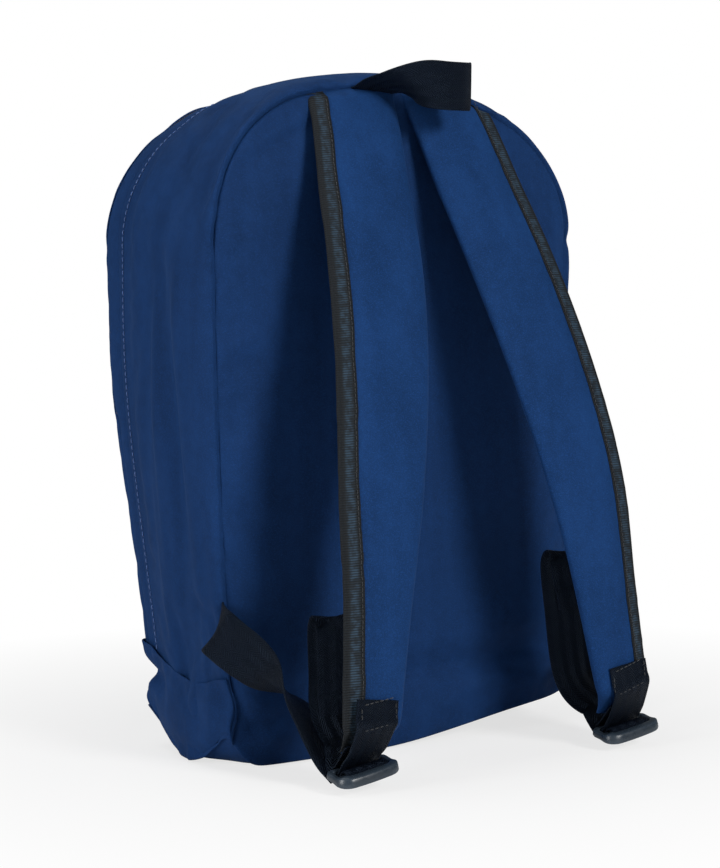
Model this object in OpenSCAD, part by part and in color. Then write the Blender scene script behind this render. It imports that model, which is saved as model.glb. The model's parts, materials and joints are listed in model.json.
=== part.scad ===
// School backpack. A padded back panel, a wrap-round gusset, a front panel whose upper part opens on a
// zip, a zipped front pocket, a haul loop and two padded shoulder straps that hang on ladder locks.
// Millimetres, +Z up. The wearer's side faces -Y. The origin is on the floor, under the middle of the body.

/* [Body] */
// Width across the body
body_w = 280; // [270:1:300]
// Height at the middle of the crown
body_h = 420; // [415:1:430]
// Depth from the back seam to the front face
body_d = 130; // [124:1:140]
// Radius of the top corners
corner_r = 90; // [80:1:95]
// Radius of the gently arched crown
crown_r = 300; // [290:1:360]
// Thickness of one layer of cloth
cloth_t = 1.2; // [1:0.1:1.4]
// Thickness of the foam in the back panel
back_foam_t = 5; // [3:0.5:8]
// Height of the low side panels
side_panel_h = 62; // [55:1:70]

/* [Front] */
// Height of the line on which the front flap folds down
fold_z = 214; // [210:1:225]
// Width of the front pocket
pocket_w = 210; // [190:1:220]
// Depth of the front pocket
pocket_d = 12; // [10:1:14]
// Height of the pocket's top edge
pocket_top = 203; // [190:1:204]

/* [Zips] */
// Slit between the two halves of a zip chain, which the slider's neck runs in
chain_gap = 1.2; // [1:0.1:1.4]
// Length of a zip slider
slider_l = 9; // [8:0.5:10]
// Length of a zip pull
pull_l = 24; // [20:1:28]

/* [Shoulder straps] */
// Radius of the strap's outward bow
bow_r = 612; // [600:1:640]
// Angle from upright at which a strap leaves the top seam
root_angle = 33; // [32:0.5:34]
// Angle from upright of the strap's straight lower end
end_angle = 4; // [3:0.5:5]
// Length of the straight lower end
strap_tail_l = 84; // [80:1:88]
// Thickness of the strap's foam
strap_foam_t = 8; // [6:0.5:9]
// Width of all the webbing
webbing_w = 30; // [28:1:32]
// Thickness of the webbing
webbing_t = 1.5; // [1.2:0.1:1.6]

/* [Ladder locks] */
// Width of a ladder lock
lock_w = 42; // [40:1:44]
// Length of a ladder lock, hinge bar to lip
lock_l = 19; // [18:0.5:21]
// Downward tilt of the lock from level, hinge bar to lip
lock_tilt = 12; // [5:1:15]

/* [Hidden] */
$fn = 96;

navy = [0.07, 0.13, 0.30];
navy_light = [0.09, 0.17, 0.38];
charcoal = [0.13, 0.15, 0.17];
black_web = [0.04, 0.04, 0.05];
foam_grey = [0.75, 0.75, 0.72];
dark_plastic = [0.12, 0.13, 0.15];
dark_metal = [0.10, 0.10, 0.11];

gap = 0.2;            // air between neighbouring soft layers
past = 1;             // how far a cut runs past the face it cuts
reach = 400;          // longer than any cut needs to be
bend_fill = 0.06;     // how far the round at each bend of a ribbon stands proud of its faces

// Body outline: straight sides, corner arcs, and a crown arc that meets the corner arcs smoothly.
corner_x = body_w / 2 - corner_r;
crown_z = body_h - crown_r;
corner_z = crown_z + sqrt(pow(crown_r - corner_r, 2) - pow(corner_x, 2));
crown_half_angle = asin(corner_x / (crown_r - corner_r));

// Planes from back to front.
back_y = -body_d / 2;
front_y = body_d / 2;
foam_y = back_y + cloth_t + gap;
lining_y = foam_y + back_foam_t + gap;
lining_t = 0.8;
bind_y = lining_y + lining_t + gap;
bind_w = 9;           // how far a bound seam stands into the bag
bind_t = 1.6;
band_w = 10;          // width of the front band

// Main zip, which runs in the gusset just behind the front face.
zip_y = front_y - 4.5;
coil_w = 1.4;
coil_t = 2;
coil_inset = 0.8;
tape_t = 0.7;
tape_inset = 1.5;
tape_w = 8;
plate_half = 2.4;     // half the width of a slider's plates
band_edge_y = zip_y - plate_half - gap;
band_seam_y = band_edge_y - band_w;
flap_edge_y = zip_y + plate_half + gap;
flap_z = fold_z + 1.2;

// Slider sections, measured outward from the outline.
plate_t = 1.1;
plate_gap = 0.3;
neck_t = 0.8;
pin_r = 0.8;
pin_lift = 1.7;       // height of the pull's pin over the top plate
hinge_gap = 0.06;     // running clearance round a pin
slider_rest_angle = (slider_l / 2 + 0.8) / crown_r * 180 / PI;
pull_hole_r = 2;
stop_w = 4.6;         // width of the bar tacks at the chain's ends

// Front pocket.
pocket_z0 = 24;
pocket_zip_z = pocket_top - 15;
pocket_y = front_y + pocket_d;
pocket_zip_l = pocket_w - 14;

// Shoulder straps. The strap is a bowed band seen from the side, cut to a tapered outline seen from behind.
strap_t = 2 * cloth_t + strap_foam_t + gap;
root_z = body_h - 9.4;
root_y = back_y - 0.4;
bow_y = root_y + bow_r * cos(root_angle);
bow_z = root_z - bow_r * sin(root_angle);
straight_y = bow_y - bow_r * cos(end_angle);
straight_z = bow_z + bow_r * sin(end_angle);
strap_end_y = straight_y - strap_tail_l * sin(end_angle);
strap_end_z = straight_z - strap_tail_l * cos(end_angle);
edge_w = 11;          // width of the binding on the face
edge_t = 1.1;

// Height, distance from the middle of the body and width of the strap, from its root to its end.
strap_stations = [[body_h - 3, 34.5, 63], [300, 54, 68], [184, 76, 61.5], [107, 87, 48], [20, 99, 38]];

// Ladder lock, hung by its hinge bar in the loop of the end tab.
lock_x = 104;
lock_y = strap_end_y + 17;
lock_z = 13;
lock_bar_r = 1.6;
lock_t = 3.6;
lock_bar_w = 4;
slot_w = 3.2;
tab_rise = 18;        // how far the tab laps up the strap's face

// Where the lower webbing leaves the side seam.
seam_x = body_w / 2 + 2.5;
seam_z = 88;

// ---------- shared shapes ----------

// The body seen from behind, drawn in by inset, down to height z0.
module outline(inset, z0) {
    half_w = body_w / 2 - inset;
    translate([-half_w, z0]) square([2 * half_w, corner_z - z0]);
    for (s = [-1, 1]) translate([s * corner_x, corner_z]) circle(corner_r - inset);
    intersection() {
        translate([0, crown_z]) circle(crown_r - inset, $fn = 180);
        polygon([
            [0, crown_z],
            [reach * tan(crown_half_angle), crown_z + reach],
            [-reach * tan(crown_half_angle), crown_z + reach]
        ]);
    }
}

// The outline as a slab from y0 to y1.
module slab(inset, y0, y1, z0) {
    translate([0, y1, 0]) rotate([90, 0, 0]) linear_extrude(y1 - y0) outline(inset, z0);
}

// A band of thickness t that follows the outline, open at the bottom.
module hoop(inset, t, y0, y1, z0) {
    difference() {
        slab(inset, y0, y1, z0);
        slab(inset + t, y0 - past, y1 + past, z0 - past);
    }
}

// Keeps what lies above height z.
module above(z) {
    difference() {
        children();
        translate([-reach, -reach, z - 2 * reach]) cube(2 * reach);
    }
}

// Keeps what lies below height z.
module below(z) {
    difference() {
        children();
        translate([-reach, -reach, z]) cube(2 * reach);
    }
}

// Draws the right-hand part as it is and the left-hand part as its mirror image.
module on_side(side) {
    mirror([side < 0 ? 1 : 0, 0, 0]) children();
}

// A drawing in (y, z) given a width along X, centred on x.
module across(x, w) {
    translate([x - w / 2, 0, 0]) rotate([90, 0, 90]) linear_extrude(w) children();
}

// A drawing in (x, z) given a depth along Y, from y0 to y1.
module through(y0, y1) {
    translate([0, y1, 0]) rotate([90, 0, 0]) linear_extrude(y1 - y0) children();
}

// A ribbon of thickness t seen edge-on, through a list of points.
module ribbon_path(points, t) {
    for (i = [0 : len(points) - 2]) {
        step = points[i + 1] - points[i];
        translate(points[i]) rotate(atan2(step[1], step[0])) translate([0, -t / 2]) square([norm(step), t]);
        translate(points[i]) circle(t / 2 + bend_fill, $fn = 24);
    }
    translate(points[len(points) - 1]) circle(t / 2 + bend_fill, $fn = 24);
}

// ---------- zip hardware ----------
// Its own frame: the chain runs along X, the outside is +Z, and z = 0 is the outer face of the cloth.

module zip_slider() {
    half_l = slider_l / 2;
    top_z = -coil_inset + plate_gap;
    low_z = -coil_inset - coil_t - plate_gap;
    translate([-half_l, -plate_half, top_z]) cube([slider_l, 2 * plate_half, plate_t]);
    translate([-half_l, -plate_half, low_z - plate_t]) cube([slider_l, 2 * plate_half, plate_t]);
    translate([-half_l, -neck_t / 2, low_z - past / 2]) cube([3, neck_t, top_z - low_z + past]);
    for (s = [-1, 1]) {
        translate([-1.2, s * (plate_half - 0.45) - 0.45, top_z + plate_t - 0.2])
            cube([2.4, 0.9, pin_lift + pin_r + 0.6]);
    }
    translate([0, 0, top_z + plate_t + pin_lift]) rotate([90, 0, 0])
        cylinder(r = pin_r, h = 2 * plate_half, center = true, $fn = 32);
}

// The pull lies along +X from its pin.
module zip_pull() {
    pin_z = -coil_inset + plate_gap + plate_t + pin_lift;
    eye_r = pin_r + hinge_gap;
    eye_w = 2 * plate_half - 2.2;
    tab_t = 1.4;
    translate([0, 0, pin_z]) {
        rotate([90, 0, 0]) difference() {
            union() {
                cylinder(r = eye_r + 0.7, h = eye_w, center = true, $fn = 32);
                translate([0, -tab_t / 2, -eye_w / 2]) cube([5.5, tab_t, eye_w]);
            }
            cylinder(r = eye_r, h = eye_w + past, center = true, $fn = 32);
        }
        translate([0, 0, -tab_t / 2]) difference() {
            linear_extrude(tab_t) {
                translate([5, -3]) square([pull_l - 8, 6]);
                translate([pull_l - 3, 0]) circle(3);
            }
            translate([pull_l - 3.6, 0, -past]) cylinder(r = pull_hole_r, h = tab_t + 2 * past);
        }
    }
}

// Places zip hardware on the crown, turned by angle from the middle.
module on_crown(angle) {
    translate([0, zip_y, crown_z]) rotate([0, angle, 0]) translate([0, 0, crown_r]) children();
}

// ---------- body ----------

module back_panel() {
    color(navy) slab(cloth_t + gap, back_y, back_y + cloth_t, cloth_t + gap);
}

module back_foam() {
    color(foam_grey) slab(cloth_t + 4, foam_y, foam_y + back_foam_t, 6);
}

module back_lining() {
    color(navy) slab(cloth_t + gap, lining_y, lining_y + lining_t, cloth_t + gap);
}

module back_seam_binding() {
    color(black_web) hoop(cloth_t + gap, bind_w, bind_y, bind_y + bind_t, side_panel_h);
}

module main_gusset() {
    color(navy) hoop(0, cloth_t, back_y, band_seam_y, side_panel_h - 18);
}

module front_band() {
    color(navy) hoop(0, cloth_t, band_seam_y + gap, band_edge_y, side_panel_h - 18);
}

// A side panel laps over the bottom of the gusset. Its hem is lower at the back.
module lower_side_panel(side) {
    on_side(side) color(navy) across(body_w / 2 + gap / 2 + cloth_t / 2, cloth_t)
        polygon([
            [back_y, cloth_t + gap],
            [front_y - 3, cloth_t + gap],
            [front_y - 3, side_panel_h],
            [back_y, side_panel_h - 10]
        ]);
}

module base_panel() {
    color(navy) translate([-body_w / 2, back_y, 0]) cube([body_w, body_d, cloth_t]);
}

module front_lower_panel() {
    color(navy) below(fold_z) {
        slab(0, front_y - cloth_t, front_y, cloth_t + gap);
        hoop(0, cloth_t, band_edge_y + gap, front_y - cloth_t / 2, side_panel_h - 18);
    }
}

module front_flap() {
    color(navy) above(flap_z) {
        slab(0, front_y - cloth_t, front_y, 0);
        hoop(0, cloth_t, flap_edge_y, front_y - cloth_t / 2, 0);
    }
}

module front_seam_binding() {
    color(black_web) hoop(tape_inset + tape_t + gap, bind_w, band_seam_y - 4, band_seam_y - 4 + bind_t, side_panel_h);
}

// ---------- main zip ----------

module zip_tape_rear() {
    color(black_web) above(flap_z)
        hoop(tape_inset, tape_t, band_edge_y - tape_w, zip_y - chain_gap / 2 - coil_w - 0.1, 0);
}

module zip_tape_front() {
    color(black_web) above(flap_z)
        hoop(tape_inset, tape_t, zip_y + chain_gap / 2 + coil_w + 0.1, front_y - cloth_t - 0.1, 0);
}

module zip_coil_rear() {
    color(black_web) above(flap_z)
        hoop(coil_inset, coil_t, zip_y - chain_gap / 2 - coil_w, zip_y - chain_gap / 2, 0);
}

module zip_coil_front() {
    color(black_web) above(flap_z)
        hoop(coil_inset, coil_t, zip_y + chain_gap / 2, zip_y + chain_gap / 2 + coil_w, 0);
}

// Bar tacks across the closed end of the chain.
module zip_end_stops() {
    color(dark_metal) for (s = [-1, 1])
        translate([s * (body_w / 2 - cloth_t - gap - coil_t / 2) - coil_t / 2, zip_y - stop_w / 2, fold_z - 3])
            cube([coil_t, stop_w, 3.6]);
}

module main_slider(side) {
    on_side(side) color(dark_metal) on_crown(slider_rest_angle) zip_slider();
}

module main_pull(side) {
    on_side(side) color(dark_metal) on_crown(slider_rest_angle) zip_pull();
}

// ---------- front pocket ----------

module on_pocket() {
    translate([0, pocket_y, pocket_zip_z]) rotate([-90, 0, 0]) children();
}

module pocket_outline(inset, z0, z1) {
    r = 14;
    half_w = pocket_w / 2 - inset;
    intersection() {
        union() {
            translate([-half_w, pocket_z0 + inset + r]) square([2 * half_w, pocket_top - pocket_z0 - 2 * inset - 2 * r]);
            translate([-half_w + r, pocket_z0 + inset]) square([2 * half_w - 2 * r, pocket_top - pocket_z0 - 2 * inset]);
            for (x = [-half_w + r, half_w - r], z = [pocket_z0 + inset + r, pocket_top - inset - r])
                translate([x, z]) circle(r);
        }
        translate([-reach, z0]) square([2 * reach, z1 - z0]);
    }
}

module pocket_panel() {
    color(navy) through(pocket_y - cloth_t, pocket_y) pocket_outline(0, 0, pocket_zip_z - plate_half - gap);
}

module pocket_top_strip() {
    color(navy) through(pocket_y - cloth_t, pocket_y) pocket_outline(0, pocket_zip_z + plate_half + gap, reach);
}

module pocket_gusset() {
    color(navy) difference() {
        through(front_y + gap, pocket_y - cloth_t - gap) pocket_outline(0, 0, reach);
        through(front_y, pocket_y) pocket_outline(cloth_t, 0, reach);
    }
}

module pocket_zip_tape() {
    color(black_web) for (s = [-1, 1])
        translate([-pocket_zip_l / 2, pocket_y - tape_inset - tape_t, pocket_zip_z + (s > 0 ? 2.1 : -2.1 - tape_w)])
            cube([pocket_zip_l, tape_t, tape_w]);
}

module pocket_zip_coil() {
    color(black_web) for (s = [-1, 1])
        translate([-pocket_zip_l / 2, pocket_y - coil_inset - coil_t,
                   pocket_zip_z + (s > 0 ? chain_gap / 2 : -chain_gap / 2 - coil_w)])
            cube([pocket_zip_l, coil_t, coil_w]);
}

module pocket_slider() {
    color(dark_metal) translate([-pocket_w / 2 + 14, 0, 0]) on_pocket() zip_slider();
}

module pocket_pull() {
    color(dark_metal) translate([-pocket_w / 2 + 14, 0, 0]) on_pocket() zip_pull();
}

// ---------- haul loop ----------

// A loop of webbing that stands out behind the top seam, with its width upright.
module haul_loop() {
    loop_r = 16;
    leg_y = back_y - 34;
    color(black_web) intersection() {
        difference() {
            union() {
                translate([0, leg_y, 0]) cylinder(r = loop_r + webbing_t, h = reach * 2);
                translate([-loop_r - webbing_t, leg_y, 0])
                    cube([2 * (loop_r + webbing_t), back_y - 0.4 - leg_y, reach * 2]);
            }
            translate([0, leg_y, -past]) cylinder(r = loop_r, h = reach * 3);
            translate([-loop_r, leg_y, -past]) cube([2 * loop_r, reach, reach * 3]);
        }
        across(0, 100) polygon([
            [back_y, body_h - 4], [back_y, body_h + 5], [back_y - 12, body_h + 13],
            [back_y - 55, body_h + 12], [back_y - 55, body_h - 17], [back_y - 24, body_h - 17]
        ]);
    }
}

// ---------- shoulder straps ----------

// The strap's outline seen from behind. trim draws the outer edge in.
module strap_outline(trim) {
    polygon(concat(
        [for (p = strap_stations) [p[1] - p[2] / 2, p[0]]],
        [for (i = [len(strap_stations) - 1 : -1 : 0])
            [strap_stations[i][1] + strap_stations[i][2] / 2 - trim, strap_stations[i][0]]]
    ));
}

// The strap's side view, between depths from and to under its face. spare lengthens it at the lower end.
module strap_side(from, to, spare) {
    intersection() {
        difference() {
            translate([bow_y, bow_z]) circle(bow_r - from, $fn = 360);
            translate([bow_y, bow_z]) circle(bow_r - to, $fn = 360);
        }
        polygon([
            [bow_y, bow_z],
            [bow_y - 2 * bow_r * cos(end_angle), bow_z + 2 * bow_r * sin(end_angle)],
            [bow_y - 2 * bow_r * cos(root_angle), bow_z + 2 * bow_r * sin(root_angle)]
        ]);
    }
    translate([straight_y, straight_z]) rotate(-end_angle) translate([from, -strap_tail_l - spare])
        square([to - from, strap_tail_l + spare]);
}

module strap_layer(side, from, to) {
    on_side(side) intersection() {
        across(0, reach) strap_side(from, to, 0);
        through(-reach, back_y - gap) strap_outline(edge_t + gap);
    }
}

module strap_face(side) {
    color(navy_light) strap_layer(side, 0, cloth_t);
}

module strap_foam(side) {
    color(foam_grey) strap_layer(side, cloth_t + gap / 2, cloth_t + gap / 2 + strap_foam_t);
}

module strap_lining(side) {
    color(navy) strap_layer(side, strap_t - cloth_t, strap_t);
}

// Tape folded round the strap's outer edge.
module strap_binding(side) {
    on_side(side) color(charcoal) difference() {
        intersection() {
            across(0, reach) strap_side(-edge_t, strap_t + edge_t, 0);
            through(-reach, back_y - gap) difference() {
                strap_outline(0);
                strap_outline(edge_w);
            }
        }
        intersection() {
            across(0, reach) strap_side(-gap / 2, strap_t + gap / 2, past);
            through(-reach, back_y) strap_outline(edge_t);
        }
    }
}

// Webbing tab: sewn on the strap's face, then down to a loop round the lock's hinge bar.
module strap_end_tab(side) {
    face_gap = edge_t + webbing_t / 2 + gap;
    top = [strap_end_y - face_gap + tab_rise * sin(end_angle), strap_end_z + tab_rise];
    turn = [strap_end_y - face_gap, strap_end_z - 2];
    bar = [lock_y, lock_z];
    ring_r = lock_bar_r + hinge_gap;
    on_side(side) color(black_web) difference() {
        across(lock_x - 2, webbing_w) {
            ribbon_path([top, turn, [bar[0] - ring_r - webbing_t / 2, bar[1] + 1]], webbing_t);
            translate(bar) circle(ring_r + webbing_t);
        }
        across(lock_x - 2, webbing_w + 2 * past) translate(bar) circle(ring_r);
    }
}

// Ladder lock: two side rails, a round hinge bar, a middle bar and a thick lip. It lies nearly level.
module ladder_lock(side) {
    rail_w = (lock_w - webbing_w - 3) / 2;
    on_side(side) color(dark_plastic)
        translate([lock_x - 2, lock_y, lock_z]) rotate([lock_tilt, 0, 0]) {
            rotate([0, 90, 0]) cylinder(r = lock_bar_r, h = lock_w - 2, center = true, $fn = 48);
            for (s = [-1, 1])
                across(s * (lock_w - rail_w) / 2, rail_w) {
                    translate([-lock_l + lock_t / 2, -lock_t / 2]) square([lock_l - lock_t / 2, lock_t]);
                    circle(lock_t / 2 + 0.4);
                    translate([-lock_l + lock_t / 2, 0]) circle(lock_t / 2);
                }
            across(0, lock_w - rail_w) {
                translate([-lock_l, -lock_t / 2]) square([lock_bar_w, lock_t + 1.6]);
                translate([-lock_l + lock_bar_w + slot_w, -lock_t / 2]) square([lock_bar_w - 1, lock_t - 0.8]);
            }
        }
}

// One cross-section of the lower webbing, its width turned from upright towards X by angle.
module web_section(p, angle) {
    translate(p) rotate([0, angle, 0]) cube([webbing_t, webbing_t, webbing_w - webbing_t], center = true);
}

// Lower webbing: from the side seam, turning flat on its way to the lock.
module adjuster_webbing(side) {
    path = [
        [seam_x, back_y - 1.5, seam_z, 0],
        [seam_x - 1, back_y - 16, seam_z - 7, 8],
        [seam_x - 7, back_y - 36, seam_z - 24, 25],
        [lock_x + 16, lock_y + 30, lock_z + 30, 50],
        [lock_x + 4, lock_y + 12, lock_z + 2, 80],
        [lock_x - 2, lock_y + 6, lock_z - 7, 90]
    ];
    on_side(side) color(black_web) for (i = [0 : len(path) - 2]) {
        a = path[i];
        b = path[i + 1];
        hull() {
            web_section([a[0], a[1], a[2]], a[3]);
            web_section([b[0], b[1], b[2]], b[3]);
        }
    }
}

// Free end of the webbing: up behind the strap, over, and back down.
module webbing_tail(side) {
    low = [lock_y + 10, lock_z + 7];
    on_side(side) color(black_web) across(lock_x - 15, webbing_w) ribbon_path([
        low,
        low + [9, 12],
        low + [16, 40],
        low + [19, 78],
        low + [17, 83],
        low + [12, 84],
        low + [9, 80],
        low + [7, 50]
    ], webbing_t);
}

// ---------- the nodes ----------

back_panel();
back_foam();
back_lining();
back_seam_binding();
main_gusset();
front_band();
lower_side_panel(-1);  // lower_side_panel_left
lower_side_panel(1);  // lower_side_panel_right
base_panel();
front_lower_panel();
front_flap();
front_seam_binding();
zip_tape_rear();
zip_tape_front();
zip_coil_rear();
zip_coil_front();
zip_end_stops();
main_slider(-1);  // main_slider_left
main_slider(1);  // main_slider_right
main_pull(-1);  // main_pull_left
main_pull(1);  // main_pull_right
pocket_panel();
pocket_top_strip();
pocket_gusset();
pocket_zip_tape();
pocket_zip_coil();
pocket_slider();
pocket_pull();
haul_loop();
strap_face(-1);  // strap_face_left
strap_face(1);  // strap_face_right
strap_foam(-1);  // strap_foam_left
strap_foam(1);  // strap_foam_right
strap_lining(-1);  // strap_lining_left
strap_lining(1);  // strap_lining_right
strap_binding(-1);  // strap_binding_left
strap_binding(1);  // strap_binding_right
strap_end_tab(-1);  // strap_end_tab_left
strap_end_tab(1);  // strap_end_tab_right
ladder_lock(-1);  // ladder_lock_left
ladder_lock(1);  // ladder_lock_right
adjuster_webbing(-1);  // adjuster_webbing_left
adjuster_webbing(1);  // adjuster_webbing_right
webbing_tail(-1);  // webbing_tail_left
webbing_tail(1);  // webbing_tail_right
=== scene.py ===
"""Looks of the school backpack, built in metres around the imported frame.

Shapes are worked out in millimetres and turned into metres when a mesh is made. Soft panels follow the
body's outline, then settle() gives every one of them the same sag, so that they stay joined.
"""
import json
import math

import bmesh
import bpy
import numpy as np
from mathutils import Matrix, Vector, noise


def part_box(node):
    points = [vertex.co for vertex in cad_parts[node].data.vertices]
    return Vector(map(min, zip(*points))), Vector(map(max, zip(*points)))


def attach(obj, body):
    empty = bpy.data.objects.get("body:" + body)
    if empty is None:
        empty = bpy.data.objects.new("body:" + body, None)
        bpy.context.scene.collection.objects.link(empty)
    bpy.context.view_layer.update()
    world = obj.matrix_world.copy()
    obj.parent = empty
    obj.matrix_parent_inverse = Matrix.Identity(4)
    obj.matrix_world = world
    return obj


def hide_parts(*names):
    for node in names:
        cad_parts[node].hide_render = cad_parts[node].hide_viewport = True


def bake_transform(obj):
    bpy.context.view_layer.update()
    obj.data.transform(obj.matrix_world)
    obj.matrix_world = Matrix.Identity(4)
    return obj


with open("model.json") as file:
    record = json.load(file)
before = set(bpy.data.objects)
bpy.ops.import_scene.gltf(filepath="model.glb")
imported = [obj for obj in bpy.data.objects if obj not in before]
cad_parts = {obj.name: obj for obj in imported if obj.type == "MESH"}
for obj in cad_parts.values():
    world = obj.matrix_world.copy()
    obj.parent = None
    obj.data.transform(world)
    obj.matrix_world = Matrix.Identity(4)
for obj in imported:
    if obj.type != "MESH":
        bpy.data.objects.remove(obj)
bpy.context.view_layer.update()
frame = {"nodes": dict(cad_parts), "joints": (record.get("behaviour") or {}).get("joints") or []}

MM = 0.001


def box_mm(node):
    """Lowest and highest corner of a CAD node, in millimetres."""
    low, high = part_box(node)
    return np.array(low) / MM, np.array(high) / MM


# ---------------------------------------------------------------- sizes, from the frame

GUSSET_LOW, GUSSET_HIGH = box_mm("main_gusset")
HALF_W = GUSSET_HIGH[0]
TOP_Z = GUSSET_HIGH[2]
BACK_Y = GUSSET_LOW[1]
SEAM_Y = GUSSET_HIGH[1]            # where the gusset laps over the front band
BAND_Y = box_mm("front_band")[1][1]
FRONT_Y = box_mm("front_flap")[1][1]
DEPTH = FRONT_Y - BACK_Y
FOLD_Z = box_mm("front_lower_panel")[1][2]
FLAP_RIM_Y = box_mm("front_flap")[0][1]
BODY_MIDDLE = np.array([0.0, 0.0, 190.0])
COIL_REAR = box_mm("zip_coil_rear")
COIL_FRONT = box_mm("zip_coil_front")

CORNER_R = 90.0                                   # the outline's two top corners
CROWN_R = 300.0                                   # the flat arch between them
CORNER_X = HALF_W - CORNER_R
CROWN_Z = TOP_Z - CROWN_R
CORNER_Z = CROWN_Z + math.sqrt((CROWN_R - CORNER_R) ** 2 - CORNER_X ** 2)
CROWN_ANGLE = math.asin(CORNER_X / (CROWN_R - CORNER_R))
CROWN_LEN = CROWN_R * CROWN_ANGLE
CORNER_LEN = CORNER_R * (math.pi / 2 - CROWN_ANGLE)
HALF_LEN = CROWN_LEN + CORNER_LEN + CORNER_Z     # from the top of the crown down to the floor
GRID = 5.0                                        # spacing of the panels' grids
WEB_W, WEB_T = 30.0, 1.5                          # the webbing's width and thickness


# ---------------------------------------------------------------- small maths

def smooth(t):
    t = np.clip(t, 0.0, 1.0)
    return t * t * (3 - 2 * t)


def bump(t, centre, width):
    """1 at the centre, falling smoothly to 0 at width away."""
    return smooth(1 - np.abs(np.asarray(t, float) - centre) / width)


def unit(v):
    v = np.asarray(v, float)
    return v / np.maximum(np.linalg.norm(v, axis=-1, keepdims=True), 1e-12)


def wander(a, b, seed, octaves=2):
    """Smooth noise from -1 to 1 over two coordinate arrays."""
    a, b = np.broadcast_arrays(np.asarray(a, float), np.asarray(b, float))
    out = np.empty(a.size)
    for i, (u, v) in enumerate(zip(a.ravel(), b.ravel())):
        out[i] = noise.fractal(Vector((u, v, seed * 7.31)), 1.0, 2.0, octaves)
    return out.reshape(a.shape)


def spot(*pairs):
    """1 where every distance is 0, fading out over the width that comes with each."""
    return np.exp(-sum((distance / width) ** 2 for distance, width in pairs))


def level(like, value):
    """One value, in the shape of another array."""
    return np.full(like.shape, value)


def run_lengths(points):
    """How far along a line each of its points lies."""
    return np.concatenate([[0], np.cumsum(np.linalg.norm(np.diff(points, axis=0), axis=1))])


def point_at(at, run, points):
    """The point, or points, at a distance along a line."""
    return np.stack([np.interp(at, run, column) for column in points.T], -1)


def curve_through(points, count):
    """A smooth curve through the points, at even steps of length."""
    p = np.asarray(points, float)
    ends = np.vstack([2 * p[0] - p[1], p, 2 * p[-1] - p[-2]])
    fine = []
    for i in range(len(p) - 1):
        a, b, c, d = ends[i:i + 4]
        t = np.linspace(0, 1, 40, endpoint=False)[:, None]
        fine.append(0.5 * (2 * b + (c - a) * t + (2 * a - 5 * b + 4 * c - d) * t ** 2
                           + (3 * b - a - 3 * c + d) * t ** 3))
    fine = np.vstack(fine + [p[-1:]])
    run = run_lengths(fine[:, :3])
    return point_at(np.linspace(0, run[-1], count), run, fine)


# ---------------------------------------------------------------- the body's outline and sag

def outline(q, inset=0.0):
    """Points (x, z) at distance q from the top of the crown, left of it when q is negative."""
    q = np.asarray(q, float)
    side = np.where(q < 0, -1.0, 1.0)
    run = np.abs(q)
    on_crown = run / CROWN_R
    on_corner = CROWN_ANGLE + (run - CROWN_LEN) / CORNER_R
    angle = np.where(run < CROWN_LEN, on_crown, np.minimum(on_corner, math.pi / 2))
    crown = run < CROWN_LEN
    x = np.where(crown, CROWN_R * np.sin(angle), CORNER_X + CORNER_R * np.sin(angle))
    z = np.where(crown, CROWN_Z + CROWN_R * np.cos(angle), CORNER_Z + CORNER_R * np.cos(angle))
    z = np.where(run > CROWN_LEN + CORNER_LEN, CORNER_Z - (run - CROWN_LEN - CORNER_LEN), z)
    return side * (x - inset * np.sin(angle)), z - inset * np.cos(angle)


def shell_points(q, y, inset):
    """Points of a panel that follows the outline, before it sags."""
    x, z = outline(q, inset)
    x, y, z = np.broadcast_arrays(x, y, z)
    return np.stack([x, y, z], -1).astype(float)


# The sag: heights in millimetres, draws as shares of the width or depth.
SAG_TOP = 270.0        # below this the filled bag narrows towards its base
ALL_DRAW = 0.03        # how far every side draws in at the floor
FRONT_DRAW = 0.055     # how much more the width does at the front
EDGE_DRAW = 0.15       # how much more the depth does near the two sides
BASE_BLEND = 120.0     # height over which the base's rise fades out
FRONT_RISE = 30.0      # the base's rounded front
RIGHT_RISE = 17.0      # the right side stands off the floor
SEAM_TILT = 5.5        # the back's top seam is higher on its left
SEAM_CREST = 3.5       # and in its middle
SLUMP = 5.0            # the top corners hang towards the front


def depth_share(y):
    """0 at the back, 1 at the front."""
    return (y - BACK_Y) / DEPTH


def base_height(x, y):
    """How far the underside stands off the floor: a rounded front, a lifted right side, pinched corners."""
    depth = depth_share(y)
    front = FRONT_RISE * smooth((depth - 0.38) / 0.62)
    right = RIGHT_RISE * smooth((x + 30) / 165) * (1 - 0.75 * smooth(depth / 0.55))
    pinch_left = 22.0 * spot((x + HALF_W, 13), (y - BACK_Y, 22))
    pinch_right = 6.0 * spot((x - HALF_W, 15), (y - BACK_Y, 26))
    return np.maximum(front, right) + pinch_left + pinch_right


def top_lean(x, depth, z):
    """The back's top seam stands up in the middle, and a little higher on the left than on the right."""
    tilt = SEAM_TILT * np.clip(-x / 85, -1, 1) * smooth((np.abs(x) - 15) / 60)
    crest = SEAM_CREST * (1 - smooth((np.abs(x) - 10) / 80))
    return (tilt + crest) * smooth((z - 320) / 70) * (1 - smooth(depth / 0.8))


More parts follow.
